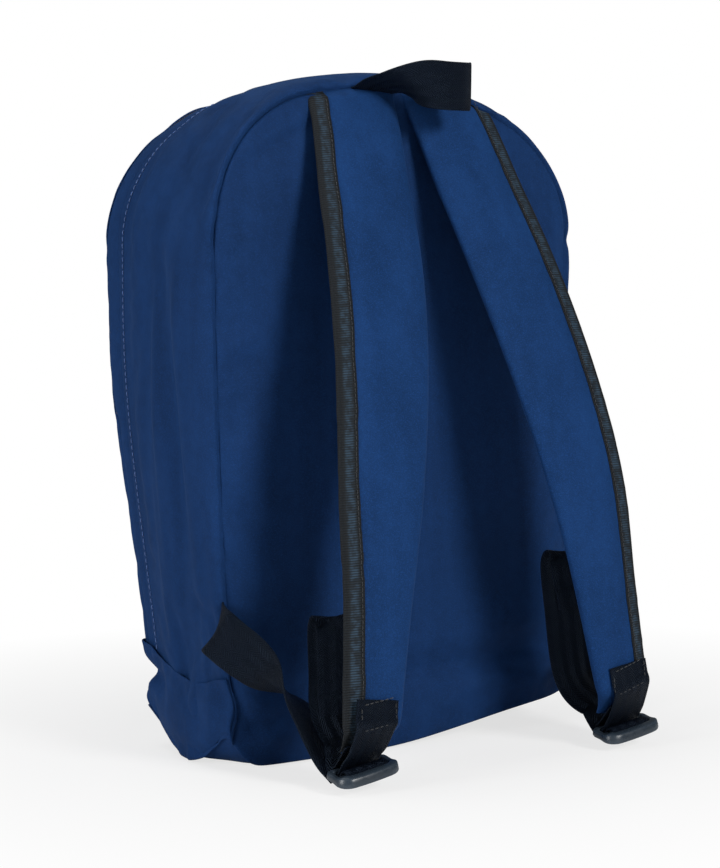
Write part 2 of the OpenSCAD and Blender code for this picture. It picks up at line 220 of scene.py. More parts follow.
def settle(points):
    """The sag that every soft panel of the body shares."""
    p = np.array(points, float)
    x, y, z = p[..., 0], p[..., 1], p[..., 2]
    depth = depth_share(y)
    from_side = HALF_W - np.abs(x)
    low = smooth((SAG_TOP - z) / SAG_TOP)
    edge = smooth((np.abs(x) - 95) / 45)
    new_x = x * (1 - (ALL_DRAW + FRONT_DRAW * np.clip(depth, 0, 1)) * low)
    new_y = BACK_Y + (y - BACK_Y) * (1 - (ALL_DRAW + EDGE_DRAW * edge) * low)
    lift = base_height(new_x, new_y) * np.clip(1 - z / BASE_BLEND, 0, 1) ** 2
    pinch = (8.5 * spot((z - 37, 9)) - 3.0 * spot((z - 12, 9))) * spot((from_side, 34), (FRONT_Y - y, 38))
    slump = SLUMP * smooth((depth - 0.1) / 0.7) * smooth((np.abs(x) - 66) / 35) * smooth((z - 300) / 80)
    dent = 4.0 * spot((z - 26, 18), (from_side, 22), (y - BACK_Y, 16))
    return np.stack([new_x - np.sign(x) * (pinch * 0.8 + dent), new_y - pinch * 0.6,
                     z + lift - slump + top_lean(x, depth, z)], -1)


# ---------------------------------------------------------------- mesh building

def new_object(name, data):
    """A scene object around a mesh, a lamp or a camera."""
    made = bpy.data.objects.new(name, data)
    bpy.context.scene.collection.objects.link(made)
    return made


def shade_smooth(mesh):
    for polygon in mesh.polygons:
        polygon.use_smooth = True


def apply_modifiers(piece):
    """Bakes a piece's modifiers into its mesh."""
    evaluated = piece.evaluated_get(bpy.context.evaluated_depsgraph_get())
    mesh = bpy.data.meshes.new_from_object(evaluated)
    old = piece.data
    piece.modifiers.clear()
    piece.data = mesh
    bpy.data.meshes.remove(old)
    shade_smooth(mesh)


def add_object(name, mesh, body, look, replaces=(), thickness=0.0, subdivide=0):
    """A piece with a look, which is a material and the record's slot for it; the slot is not used.

    A sheet's thickness grows inwards.
    """
    material, slot = look
    mesh.materials.append(material)
    piece = new_object(name, mesh)
    shade_smooth(mesh)
    if replaces:
        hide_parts(*replaces)
    if thickness:
        solid = piece.modifiers.new("thickness", "SOLIDIFY")
        solid.thickness = thickness * MM
        solid.offset = -1
        solid.use_even_offset = False
    if subdivide:
        levels = piece.modifiers.new("round", "SUBSURF")
        levels.levels = levels.render_levels = subdivide
    if piece.modifiers:
        apply_modifiers(piece)
    if body is not None:
        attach(piece, body)
    return piece


def make_mesh(name, points, faces, uv=None):
    """A mesh from millimetre points, with a UV layer in millimetres along the cloth."""
    mesh = bpy.data.meshes.new(name)
    mesh.from_pydata([tuple(p) for p in np.asarray(points, float) * MM], [], faces)
    if uv is not None:
        layer = mesh.uv_layers.new(name="cloth")
        index = np.empty(len(mesh.loops), int)
        mesh.loops.foreach_get("vertex_index", index)
        layer.data.foreach_set("uv", np.asarray(uv, float)[index].ravel())
    mesh.update()
    return mesh


def grid_faces(rows, columns, wrap=False):
    """Quads over a rows by columns grid. wrap joins the last column to the first."""
    faces = []
    for row in range(0, (rows - 1) * columns, columns):
        for j in range(columns if wrap else columns - 1):
            k = (j + 1) % columns
            faces.append((row + j, row + k, row + columns + k, row + columns + j))
    return faces


def tube_faces(rings, around):
    """Faces through a stack of closed rings, with capped ends."""
    ends = [tuple(range(around))[::-1], tuple(range((rings - 1) * around, rings * around))]
    return grid_faces(rings, around, wrap=True) + ends


def edit_mesh(mesh, work):
    """Gives the mesh's editable form to work, and writes the result back."""
    bm = bmesh.new()
    bm.from_mesh(mesh)
    work(bm)
    bm.to_mesh(mesh)
    bm.free()


def tidy_normals(mesh):
    edit_mesh(mesh, lambda bm: bmesh.ops.recalc_face_normals(bm, faces=bm.faces))


def weld(mesh, distance=0.01 * MM):
    """Joins points that lie on each other, where rows of a grid run together."""

    def join(bm):
        bmesh.ops.remove_doubles(bm, verts=bm.verts, dist=distance)
        bmesh.ops.dissolve_degenerate(bm, edges=bm.edges, dist=distance * 0.5)

    edit_mesh(mesh, join)


def points_mm(mesh):
    return np.array([v.co for v in mesh.vertices], float) / MM


CLOTH = {"quality": 5, "mass": 0.15, "tension_stiffness": 25, "compression_stiffness": 25,
         "shear_stiffness": 8, "bending_stiffness": 0.25, "use_pressure": True, "vertex_group_mass": "pinned"}
CLOTH_FRAMES = 18


def cloth_relax(points, faces, pinned, pressure, slack, cap):
    """Blows a slack sheet out with Blender's cloth. Pinned points stay, others move by cap at most."""
    mesh = make_mesh("relaxing", points, faces)
    sheet = new_object("relaxing", mesh)
    group = sheet.vertex_groups.new(name="pinned")
    group.add([int(i) for i in np.flatnonzero(pinned)], 1.0, "REPLACE")
    cloth = sheet.modifiers.new("Cloth", "CLOTH")
    for key, value in CLOTH.items():
        setattr(cloth.settings, key, value)
    cloth.settings.uniform_pressure_force = pressure
    cloth.settings.shrink_min = -slack
    cloth.settings.effector_weights.gravity = 0
    cloth.collision_settings.use_collision = False
    scene = bpy.context.scene
    for step in range(1, CLOTH_FRAMES + 1):
        scene.frame_set(step)
    moved = points_mm(sheet.evaluated_get(bpy.context.evaluated_depsgraph_get()).data)
    scene.frame_set(1)
    bpy.data.objects.remove(sheet)
    bpy.data.meshes.remove(mesh)
    shift = moved - points
    length = np.linalg.norm(shift, axis=1, keepdims=True)
    return points + shift * np.minimum(1.0, cap / np.maximum(length, 1e-9))


def faces_inwards(points, faces):
    """True when a panel's faces look towards the middle of the body."""
    corners = points[np.array(faces)]
    normal = np.cross(corners[:, 2] - corners[:, 0], corners[:, 3] - corners[:, 1])
    return ((corners.mean(1) - BODY_MIDDLE) * normal).sum() < 0


def relax_sheet(mesh, columns, pressure, slack, cap, still_rows=0):
    """Runs the cloth simulation on a sheet whose edges, and last still_rows rows, stay where they are."""
    bm = bmesh.new()
    bm.from_mesh(mesh)
    pinned = np.array([v.is_boundary for v in bm.verts])
    bm.free()
    pinned[len(pinned) - still_rows * columns:] = True
    polygons = [tuple(p.vertices) for p in mesh.polygons]
    moved = cloth_relax(points_mm(mesh), polygons, pinned, pressure, slack, cap)
    mesh.vertices.foreach_set("co", (moved * MM).ravel())


def sheet(name, grid, uv, thickness, body, look, replaces, relax=None, welded=False, subdivide=1):
    """A panel of cloth from a grid of points. relax holds the settings of its cloth simulation."""
    rows, columns = grid.shape[:2]
    points = grid.reshape(-1, 3)
    faces = grid_faces(rows, columns)
    if faces_inwards(points, faces):
        faces = [face[::-1] for face in faces]
    mesh = make_mesh(name, points, faces, np.reshape(uv, (-1, 2)))
    if welded:
        weld(mesh)
    if relax:
        relax_sheet(mesh, columns, **relax)
    return add_object(name, mesh, body, look, replaces, thickness, subdivide)


def loft(name, rings, uv, body, look, replaces, subdivide=0):
    """A closed solid through a stack of closed rings, with capped ends."""
    rings = np.asarray(rings, float)
    mesh = make_mesh(name, rings.reshape(-1, 3), tube_faces(*rings.shape[:2]), np.reshape(uv, (-1, 2)))
    tidy_normals(mesh)
    return add_object(name, mesh, body, look, replaces, subdivide=subdivide)


# Half of a webbing's cross-section, from one edge to the other: place across it, and share of its thickness.
WEB_PROFILE = [(-1, 0.35), (-0.97, 0.8), (-0.9, 1), (-0.6, 1), (-0.3, 1), (0, 1), (0.3, 1), (0.6, 1),
               (0.9, 1), (0.97, 0.8), (1.0, 0.35)]


def ribbon(name, spine, across, thickness, body, replaces, width=WEB_W, cup=0.0):
    """A flat webbing ribbon along a spine. across is the direction of its width at each point."""
    spine = np.asarray(spine, float)
    along = unit(np.gradient(spine, axis=0))
    across = unit(across - (across * along).sum(1, keepdims=True) * along)
    normal = np.cross(along, across)
    run = run_lengths(spine)
    thickness = np.broadcast_to(thickness, run.shape)
    profile = [(a, 0.5 * h) for a, h in WEB_PROFILE] + [(a, -0.5 * h) for a, h in WEB_PROFILE[::-1]]
    half = width / 2
    rings, uv = [], []
    for i, point in enumerate(spine):
        rings.append([point + across[i] * a * half + normal[i] * (h * thickness[i] + cup * (a * a - 0.3))
                      for a, h in profile])
        uv.append([(a * half, run[i]) for a, h in profile])
    return loft(name, rings, uv, body, webbing, replaces)


def tubes_mesh(name, tubes):
    """One mesh of many small closed tubes, each a stack of rings."""
    verts, faces = [], []
    for rings in tubes:
        rings = np.asarray(rings)
        faces += [tuple(i + len(verts) for i in face) for face in tube_faces(*rings.shape[:2])]
        verts += list(rings.reshape(-1, 3))
    mesh = make_mesh(name, verts, faces)
    tidy_normals(mesh)
    return mesh


STITCH_SIDES = 5
STITCH_RINGS = ((0.0, 0.45, -0.4), (0.25, 1.0, 0.3), (0.75, 1.0, 0.3), (1.0, 0.45, -0.4))  # way, radius, rise


def stitch_tubes(points, normals, pitch, length, radius):
    """A row of thread stitches laid along a line."""
    points, normals = np.asarray(points, float), unit(normals)
    run = run_lengths(points)
    turns = [2 * math.pi * k / STITCH_SIDES for k in range(STITCH_SIDES)]
    tubes = []
    for start in np.arange(pitch / 2, run[-1] - length, pitch):
        first, last = point_at(start, run, points), point_at(start + length, run, points)
        up = unit(point_at(start + length / 2, run, normals))
        out = np.cross(unit(last - first), up)
        rings = []
        for way, wide, rise in STITCH_RINGS:
            centre = first + (last - first) * way + up * radius * rise
            rings.append([centre + (out * math.cos(a) + up * math.sin(a)) * radius * wide for a in turns])
        tubes.append(rings)
    return tubes


def stitches(name, runs, body, look, pitch=3.4, length=2.5, radius=0.28):
    """One object of thread stitches along several (points, normals) lines."""
    tubes = []
    for points, normals in runs:
        tubes += stitch_tubes(points, normals, pitch, length, radius)
    return add_object(name, tubes_mesh(name, tubes), body, look)


# ---------------------------------------------------------------- materials

class Shader:
    """A material's node tree, with short calls for the nodes that the looks use."""

    def __init__(self, name):
        self.material = bpy.data.materials.new(name)
        self.material.use_nodes = True
        self.nodes = self.material.node_tree.nodes
        self.links = self.material.node_tree.links
        self.bsdf = self.nodes["Principled BSDF"]

    def feed(self, socket, value):
        if hasattr(value, "is_output"):
            self.links.new(value, socket)
        else:
            socket.default_value = value

    def node(self, kind, **inputs):
        made = self.nodes.new(kind)
        for key, value in inputs.items():
            self.feed(made.inputs[key.replace("_", " ")], value)
        return made

    def math(self, operation, a, b=0.0):
        made = self.nodes.new("ShaderNodeMath")
        made.operation = operation
        self.feed(made.inputs[0], a)
        self.feed(made.inputs[1], b)
        return made.outputs[0]

    def times(self, a, b):
        return self.math("MULTIPLY", a, b)

    def plus(self, a, b):
        return self.math("ADD", a, b)

    def waves(self, distance, pitch):
        """A sine wave along a distance in millimetres."""
        return self.math("SINE", self.times(distance, 2 * math.pi / pitch))

    def cloth_uv(self):
        """The distances along the cloth, in millimetres."""
        uv = self.nodes.new("ShaderNodeUVMap")
        uv.uv_map = "cloth"
        parts = self.node("ShaderNodeSeparateXYZ", Vector=uv.outputs[0])
        return parts.outputs[0], parts.outputs[1]

    def place(self):
        """The point in the object's own metres."""
        return self.nodes.new("ShaderNodeTexCoord").outputs["Object"]

    def noise(self, scale, detail=3.0, vector=None):
        made = self.node("ShaderNodeTexNoise", Scale=scale, Detail=detail)
        self.feed(made.inputs["Vector"], vector if vector is not None else self.place())
        return made.outputs["Fac"]

    def span(self, value, low, high, to_low=0.0, to_high=1.0):
        made = self.nodes.new("ShaderNodeMapRange")
        self.feed(made.inputs["Value"], value)
        for key, number in (("From Min", low), ("From Max", high), ("To Min", to_low), ("To Max", to_high)):
            made.inputs[key].default_value = number
        return made.outputs["Result"]

    def mix(self, factor, a, b):
        made = self.nodes.new("ShaderNodeMix")
        made.data_type = "RGBA"
        self.feed(made.inputs[0], factor)
        self.feed(made.inputs[6], a)
        self.feed(made.inputs[7], b)
        return made.outputs[2]

    def bump(self, height, strength, distance):
        made = self.node("ShaderNodeBump", Height=height, Strength=strength, Distance=distance)
        self.links.new(made.outputs[0], self.bsdf.inputs["Normal"])

    def finish(self, color, roughness, **more):
        self.feed(self.bsdf.inputs["Base Color"], color)
        self.feed(self.bsdf.inputs["Roughness"], roughness)
        for key, value in more.items():
            self.feed(self.bsdf.inputs[key.replace("_", " ")], value)
        return self.material


def rgba(color, gain=1.0):
    return (color[0] * gain, color[1] * gain, color[2] * gain, 1.0)


def woven_cloth(name, color, thread=0.55, sheen=0.06, slub=0.4):
    """Plain-woven polyester: crossing threads, a speckle of lighter ones, soft patches and a light sheen."""
    s = Shader(name)
    u, v = s.cloth_uv()
    weave = s.times(s.waves(u, 2 * thread), s.waves(v, 2 * thread))
    patches = s.noise(14.0, 4.0)
    speckle = s.noise(1250.0, 2.0)
    mottle = s.noise(150.0, 3.0)
    upright = s.node("ShaderNodeMapping", Vector=s.place(), Scale=(1.0, 1.0, 0.12)).outputs[0]
    streaks = s.noise(55.0, 4.0, upright)
    patches = s.plus(s.times(patches, 0.35), s.times(mottle, 0.25))
    patches = s.plus(patches, s.times(streaks, 0.4))
    cloudy = s.mix(s.span(patches, 0.4, 0.6), rgba(color, 0.78), rgba(color, 1.16))
    stretched = s.node("ShaderNodeCombineXYZ", X=s.times(u, 0.35), Y=s.times(v, 2.2)).outputs[0]
    threads = s.noise(1.0, 2.0, stretched)
    slubs = s.times(s.span(speckle, 0.42, 0.68), s.span(threads, 0.4, 0.7, 0.3, 1.0))
    lit = s.mix(s.times(slubs, slub), cloudy, rgba(color, 2.6))
    shaded = s.mix(s.span(weave, -1.0, 1.0, 0.3, 0.0), lit, rgba(color, 0.4))
    height = s.plus(s.times(weave, 0.5), s.times(speckle, 0.9))
    s.bump(s.plus(height, s.times(s.noise(95.0, 5.0), 7.5)), 0.6, 0.00014)
    return s.finish(shaded, s.span(speckle, 0.3, 0.7, 0.62, 0.8), Sheen_Weight=sheen, Sheen_Roughness=0.45,
                    Sheen_Tint=(0.25, 0.5, 1.0, 1.0), Specular_IOR_Level=0.06)


def twill_webbing(name, color, rib=1.5, band=3.75, yarn=0.75):
    """Herringbone webbing: slanted ribs that turn back every band, painted lighter on the ribs as highlights
    and darker between them as shade, and a few worn threads.
    """
    s = Shader(name)
    u, v = s.cloth_uv()
    zigzag = s.math("PINGPONG", u, band)
    ribs = s.waves(s.plus(v, s.times(zigzag, 0.9)), rib)
    yarns = s.waves(u, yarn)
    weave = s.plus(s.times(ribs, 0.7), s.times(yarns, 0.3))
    fuzz = s.noise(900.0, 3.0)
    wear = s.noise(60.0, 3.0)
    # Painted highlights on the ribs and painted shade between them: the colour runs from dark to light with
    # the weave.
    body = s.mix(s.span(weave, -0.7, 0.9), rgba(color, 0.2), rgba(color, 1.9))
    dust_and_painted_rib_light = s.mix(s.span(wear, 0.5, 0.85, 0.0, 0.2), body, rgba(color, 3.0))
    s.bump(s.plus(weave, s.times(fuzz, 0.8)), 0.9, 0.00035)
    return s.finish(dust_and_painted_rib_light, s.span(fuzz, 0.3, 0.7, 0.34, 0.5), Specular_IOR_Level=0.24,
                    Specular_Tint=(0.45, 0.66, 1.0, 1.0))


def ribbed_tape(name, color, rib=1.5):
    """Grosgrain binding: fine ribs across the tape, darker edges and a lighter middle."""
    s = Shader(name)
    u, v = s.cloth_uv()
    ribs = s.waves(v, rib)
    middle = s.span(s.math("ABSOLUTE", s.math("SUBTRACT", u, 6.0)), 2.0, 3.6, 1.0, 0.0)
    lighter_mask = s.times(middle, s.span(s.noise(260.0, 5.0), 0.4, 0.6, 0.2, 1.0))
    base = s.mix(s.span(ribs, -1.0, 1.0), rgba(color, 0.15), rgba(color, 0.55))
    pale = s.mix(s.span(ribs, -0.8, 0.6), rgba(color, 1.2), rgba(color, 4.2))
    toned = s.mix(lighter_mask, base, pale)
    s.bump(s.plus(ribs, s.noise(800.0, 3.0)), 0.6, 0.0002)
    return s.finish(toned, 0.68, Sheen_Weight=0.05, Sheen_Roughness=0.4, Specular_IOR_Level=0.3)


def moulded_plastic(name, color):
    """Injection-moulded acetal: faint grain, a little gloss, scuffed patches, and painted highlights along
    its convex edges.
    """
    s = Shader(name)
    grain = s.noise(2600.0, 2.0)
    scuff = s.noise(180.0, 6.0)
    edges = s.node("ShaderNodeNewGeometry").outputs["Pointiness"]
    # Painted highlight: the convex edges and bevels are painted up to three times lighter.
    lighter_mask = s.span(edges, 0.5, 0.56, 0.0, 0.8)
    toned = s.mix(lighter_mask, rgba(color), rgba(color, 3.0))
    scuffs_and_edge_highlights = s.mix(s.span(scuff, 0.5, 0.75, 0.0, 0.35), toned, rgba(color, 1.5))
    s.bump(grain, 0.18, 0.00008)
    return s.finish(scuffs_and_edge_highlights, s.span(scuff, 0.35, 0.7, 0.24, 0.4), Specular_IOR_Level=0.6)


def enamelled_metal(name, color):
    """Black-enamelled die-cast metal, bright where an edge has worn."""
    s = Shader(name)
    edges = s.node("ShaderNodeNewGeometry").outputs["Pointiness"]
    worn = s.times(s.span(edges, 0.52, 0.6), s.span(s.noise(400.0, 4.0), 0.45, 0.6))
    toned = s.mix(worn, rgba(color), (0.32, 0.32, 0.34, 1.0))
    s.bump(s.noise(1200.0, 3.0), 0.12, 0.00006)
    gloss = s.span(s.noise(240.0, 4.0), 0.3, 0.7, 0.24, 0.42)
    return s.finish(toned, gloss, Metallic=s.times(worn, 0.9))


def sewing_thread(name, color):
    """Twisted polyester thread."""
    s = Shader(name)
    twist = s.noise(2200.0, 2.0)
    s.bump(twist, 0.4, 0.0001)
    toned = s.mix(s.span(twist, 0.35, 0.65), rgba(color, 0.75), rgba(color, 1.3))
    return s.finish(toned, 0.55, Sheen_Weight=0.3)


def foam_sheet(name, color):
    """Cut edge of closed-cell foam."""
    s = Shader(name)
    cells = s.node("ShaderNodeTexVoronoi", Scale=900.0, Vector=s.place()).outputs["Distance"]
    s.bump(cells, 0.5, 0.0002)
    return s.finish(s.mix(s.span(cells, 0.1, 0.6), rgba(color, 0.7), rgba(color)), 0.9)


def nylon_coil(name, color):
    """Dyed nylon zip coil."""
    s = Shader(name)
    s.bump(s.noise(1800.0, 2.0), 0.2, 0.00005)
    toned = s.mix(s.noise(300.0, 3.0), rgba(color, 0.8), rgba(color, 1.5))
    return s.finish(toned, 0.38, Specular_IOR_Level=0.5)


NAVY = (0.0080, 0.0330, 0.115)
# The straps' navy is a brighter copy of the body's navy: painted light for the straps' lit faces.
NAVY_STRAP_LIT = (0.0082, 0.0385, 0.135)
NAVY_INSIDE = (0.008, 0.020, 0.060)
BLACK = (0.0019, 0.0032, 0.0072)
CHARCOAL = (0.0062, 0.0136, 0.0225)

# Each look is a material and the record's slot that it belongs to.
body_cloth = (woven_cloth("navy_polyester", NAVY), "navy_cloth")
# The strap cloth takes the brighter, painted-light copy of the navy.
strap_cloth = (woven_cloth("navy_polyester_strap_lit", NAVY_STRAP_LIT, slub=0.5), "strap_cloth")
inside_cloth = (woven_cloth("coated_inside", NAVY_INSIDE, sheen=0.1, slub=0.05), "lining_cloth")
webbing = (twill_webbing("black_twill_webbing", BLACK), "black_webbing")
binding = (ribbed_tape("charcoal_binding", CHARCOAL), "binding_tape")
inside_binding = (ribbed_tape("black_inside_binding", BLACK), "binding_tape")
zip_tape = (ribbed_tape("zip_tape_weave", BLACK, rib=0.6), "zip_tape")
plastic = (moulded_plastic("charcoal_acetal", (0.014, 0.021, 0.030)), "buckle_plastic")
metal = enamelled_metal("black_enamel", (0.012, 0.012, 0.014))
pale_thread = (sewing_thread("blue_thread", (0.045, 0.115, 0.33)), "navy_cloth")
dark_thread = sewing_thread("black_thread", (0.006, 0.009, 0.014))
foam = (foam_sheet("foam", (0.62, 0.62, 0.58)), "foam")
coil = (nylon_coil("nylon_coil", (0.010, 0.010, 0.013)), "zip_chain")


# ---------------------------------------------------------------- body panels

def q_samples(step=GRID, half=HALF_LEN):
    count = int(round(half / step))
    return np.linspace(-half, half, 2 * count + 1)


def gusset_share(y):
    """0 at the gusset's back seam, 1 at its front seam."""
    return np.clip((y - BACK_Y) / (SEAM_Y - BACK_Y), 0, 1)


def bulge(q, y):
    """How far the filled gusset swells out between its seams: most over the crown."""
    run = np.abs(q)
    size = 3.4 + 1.6 * (1 - smooth((run - 60) / 50)) - 3.6 * bump(run, 165, 85)
    return size * np.sin(math.pi * gusset_share(y)) ** 0.7


def folds(q, y):
    """Soft upright folds down the sides, and shorter ones round the top corners."""
    run = np.abs(q)
    across = gusset_share(y)
    free = smooth(across / 0.3) * smooth((0.88 - across) / 0.4)
    side = smooth((run - 150) / 90)
    long_folds = wander(q / 150.0, y / 15.0, 3) * 6.5 * (0.25 + 0.75 * side)
    corner = bump(run, CROWN_LEN + CORNER_LEN * 0.5, 105)
    fan = (y - BACK_Y) * 0.55
    short_folds = wander((q + np.sign(q) * fan) / 24.0, y / 70.0, 5) * 5.2 * corner
    return (long_folds + short_folds) * free


def body_panel(name, grid, uv, nodes, thickness=1.0, **more):
    """A panel of the body's cloth, with the body's sag."""
    return sheet(name, settle(grid), uv, thickness, "bag", body_cloth, nodes, **more)


def hoop_rows(q, rows):
    """Points and cloth distances of rows round the outline, one for each (inset, y)."""
    grid = [shell_points(q, y, inset) for inset, y in rows]
    uv = [np.stack([q, y + 0 * q], -1) for inset, y in rows]
    return grid, uv


# Where cloth rolls over into the back seam: inset, distance in front of the seam.
BACK_ROLL = [(4.7, 2.4), (3.6, 0.6), (2.5, -1.1), (1.1, -1.1), (0.1, 1.4)]


def build_gusset():
    """The wide band over the top and sides. Its back edge rolls over into the back seam."""
    q = q_samples()
    rows = [(inset, BACK_Y + d) for inset, d in BACK_ROLL]
    rows += [(0.0, y) for y in np.arange(BACK_Y + 6, SEAM_Y - 4, GRID)]
    rows += [(0.0, SEAM_Y - 2.5), (0.05, SEAM_Y - 0.8), (0.2, SEAM_Y)]
    rows = [(inset - (bulge(q, y) + folds(q, y)), y) for inset, y in rows]
    body_panel("gusset_cloth", *hoop_rows(q, rows), ["main_gusset"],
               relax={"pressure": 1.0, "slack": 0.02, "cap": 3.2, "still_rows": 6})


def lip_edge(q):
    """The band's folded front edge: it covers the zip down the sides and opens for the sliders at the top."""
    cover = smooth((np.abs(q) - 78) / 30)
    above_fold = smooth((HALF_LEN - np.abs(q) - FOLD_Z + 4) / 8)
    return BAND_Y + (COIL_FRONT[1][1] - BAND_Y + 0.2) * cover * above_fold


def build_band():
    """The narrow band between the gusset and the zip."""
    q = q_samples()
    start = SEAM_Y - 5.0
    length = lip_edge(q) - start
    ripple = wander(q / 30.0, q * 0, 11) * 0.5
    rows = [(inset - ripple * math.sin(math.pi * t) - 0.2 * t, start + length * t) for t, inset in (
        (0, 1.6), (0.12, 1.2), (0.25, 0.7), (0.5, 0.3), (0.75, 0.25), (0.93, 0.35), (1.0, 0.7))]
    body_panel("front_band_cloth", *hoop_rows(q, rows), ["front_band"], thickness=0.8)


def face_grid(q, rim, plane_y, swell):
    """A front or back face: rim rows round the outline, then rows running in to the middle line."""
    x0, z0 = outline(q, rim[-1][0])
    middle_z = np.where(z0 > CORNER_Z, CORNER_Z + (z0 - CORNER_Z) * 0.55, z0)
    grid = [shell_points(q, y, inset) for inset, y in rim]
    for r in np.linspace(0, 1, 27)[1:]:
        x = x0 * (1 - r)
        z = z0 + (middle_z - z0) * r
        grid.append(np.stack([x, plane_y + swell(x, z), z], -1))
    grid = np.array(grid)
    return grid, grid[..., [0, 2]]


def edge_distance(x, z):
    """Roughly how far a point of a face is from the outline, in mm."""
    corner = np.hypot(np.maximum(np.abs(x) - CORNER_X, 0), np.maximum(z - CORNER_Z, 0))
    sides = HALF_W - np.abs(x)
    arch = CROWN_R - np.hypot(x, z - CROWN_Z)
    nearest = np.minimum(sides, np.where(z > CORNER_Z, CORNER_R - corner, sides))
    return np.clip(np.minimum(nearest, arch), 0, 200)


def back_swell(x, z):
    """The padded back: flat, soft-edged, tucked under along the bottom with creases from the corners."""
    edge = edge_distance(x, z)
    low = np.clip(z / 46, 0, 1)
    out = 2.2 * smooth(edge / 50) + 7.0 * np.sin(math.pi * low) * smooth(edge / 30)
    for side in (-1, 1):
        from_corner = x * side + HALF_W
        crease_z = 22 + from_corner * 0.20
        out = out - 5.0 * smooth(1 - from_corner / 120) * spot((z - crease_z, 4.5))
    broad = wander(x / 130.0, z / 170.0, 21) * 2.0
    return -(out + broad * smooth(edge / 40))


def build_back_panel():
    rim = [(3.2, BACK_Y + 2.4), (4.1, BACK_Y + 0.8), (5.5, BACK_Y - 0.4), (8.5, BACK_Y - 1.0)]
    body_panel("back_panel_cloth", *face_grid(q_samples(), rim, BACK_Y - 1.0, back_swell), ["back_panel"],
               welded=True, relax={"pressure": 0.9, "slack": 0.010, "cap": 4.0})


def front_swell(x, z):
    edge = edge_distance(x, z)
    return 3.5 * smooth(edge / 60) + wander(x / 70.0, z / 150.0, 31) * 1.6 * smooth(edge / 30)


def build_front_panel():
    """One cloth panel from the base to the crown. On the real bag its upper part folds down with the flap;
    this piece is not joined to the flap.
    """
    q = q_samples()
    rim_y = np.where(outline(q)[1] > FOLD_Z, FLAP_RIM_Y, BAND_Y + 0.3)
    rim = [(1.2, rim_y + 0.1), (0.2, rim_y * 0.4 + FRONT_Y * 0.6 - 0.4), (0.3, FRONT_Y - 0.3),
           (1.6, FRONT_Y + 0.5), (4.5, FRONT_Y + 0.9)]
    grid, uv = face_grid(q, rim, FRONT_Y + 1.0, front_swell)
    panel = sheet("front_panel_cloth", settle(grid), uv, 1.0, None, body_cloth,
                  ["front_lower_panel", "front_flap"], welded=True,
                  relax={"pressure": 1.0, "slack": 0.008, "cap": 3.0})
    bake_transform(panel)


def hem_height(y):
    """Top of the low side panel: it sags at the back."""
    t = depth_share(y)
    return 50.0 + 13.0 * smooth(t) - 3.0 * np.sin(math.pi * t)


HEM_DOWNS = [0, 0.7, 2.2, 4.5, 7.5, 11, 15, 20, 25, 30, 35, 40, 45]    # the side panel's rows, below its hem
LAP_ROWS = (0.7, 2.2)                                                  # where the folded hem stands out


def build_side_panel(side, word):
    """The low side panel, lapped over the gusset with a folded hem."""
    columns = [(inset, BACK_Y + d) for inset, d in BACK_ROLL]
    columns += [(0.0, y) for y in np.arange(BACK_Y + 6, FRONT_Y - 4, 4.0)]
    columns += [(0.0, FRONT_Y - 3), (0.4, FRONT_Y - 1.2), (1.6, FRONT_Y + 0.3), (4.5, FRONT_Y + 1.0)]
    insets, ys = np.array(columns).T
    free = np.sin(math.pi * np.clip(depth_share(ys), 0, 1))
    grid, uv = [], []
    for down in HEM_DOWNS:
        last = down == HEM_DOWNS[-1]
        z = level(ys, 1.2) if last else np.maximum(hem_height(ys) - down, 1.8)
        puff = 2.6 + 2.4 * free * math.sin(math.pi * min(1, down / 46)) + (0.5 if down in LAP_ROWS else 0.0)
        star = 2.0 * spot((ys - 36, 9), (z - 41, 4))
        creases = wander(ys / 13.0, z / 9.0, 41 + side) * 1.1 * free * bump(down, 22, 24)
        under = bulge(HALF_LEN - z, np.minimum(ys, SEAM_Y)) * 0.6
        out = puff + creases - star + under - (2.5 if last else 0.0)
        grid.append(np.stack([side * (HALF_W - insets + out), ys, z], -1))
        uv.append(np.stack([ys, z], -1))
    node = "lower_side_panel_" + word
    body_panel(node + "_cloth", grid, uv, [node], thickness=1.1,
               relax={"pressure": 0.8, "slack": 0.02, "cap": 3.0})


def build_base():
    """The bottom of the bag, rounded up to its seams."""
    half = HALF_W + 1.5
    xs = np.concatenate([[-1.0, -0.985, -0.95], np.linspace(-0.9, 0.9, 50), [0.95, 0.985, 1.0]]) * half
    ys = np.concatenate([[BACK_Y + 0.5, BACK_Y + 2.5], np.linspace(BACK_Y + 6, FRONT_Y - 6, 24),
                         [FRONT_Y - 2.5, FRONT_Y - 0.5]])
    x, y = np.meshgrid(xs, ys)
    from_edge = np.minimum(half - np.abs(x), np.minimum(y - BACK_Y, FRONT_Y - y))
    grid = np.stack([x, y, 3.4 * np.exp(-from_edge / 4.0)], -1)
    body_panel("base_cloth", grid, grid[..., :2], ["base_panel"])


def build_body_stitching():
    """Topstitching round the gusset, beside the front seam."""
    q = q_samples(1.0, HALF_LEN - 58)
    y = SEAM_Y - 6.5
    out = bulge(q, y) + folds(q, y)
    line = settle(shell_points(q, y, -out - 0.3))
    inner = settle(shell_points(q, y, 5.0 - out))
    stitches("gusset_topstitching", [(line, line - inner)], "bag", pale_thread, pitch=4.3, length=3.1,
             radius=0.4)


build_gusset()
build_band()
build_back_panel()
build_front_panel()
build_side_panel(-1, "left")
build_side_panel(1, "right")
build_base()
build_body_stitching()


# ---------------------------------------------------------------- inside of the body

TAPE_W = 11.2


def inner_hoop(name, ys, insets, thickness, body, look, node, half):
    """A strip that follows the outline inside the bag, from one y and inset to the other."""
    q = q_samples(8.0, half)
    grid, uv = [], []
    for t in (0.0, 0.5, 1.0):
        y, inset = (a + (b - a) * t for a, b in (ys, insets))
        grid.append(shell_points(q, y, inset))
        uv.append(np.stack([level(q, TAPE_W * t), q], -1))
    sheet(name, settle(grid), uv, thickness, body, look, [node], subdivide=0)


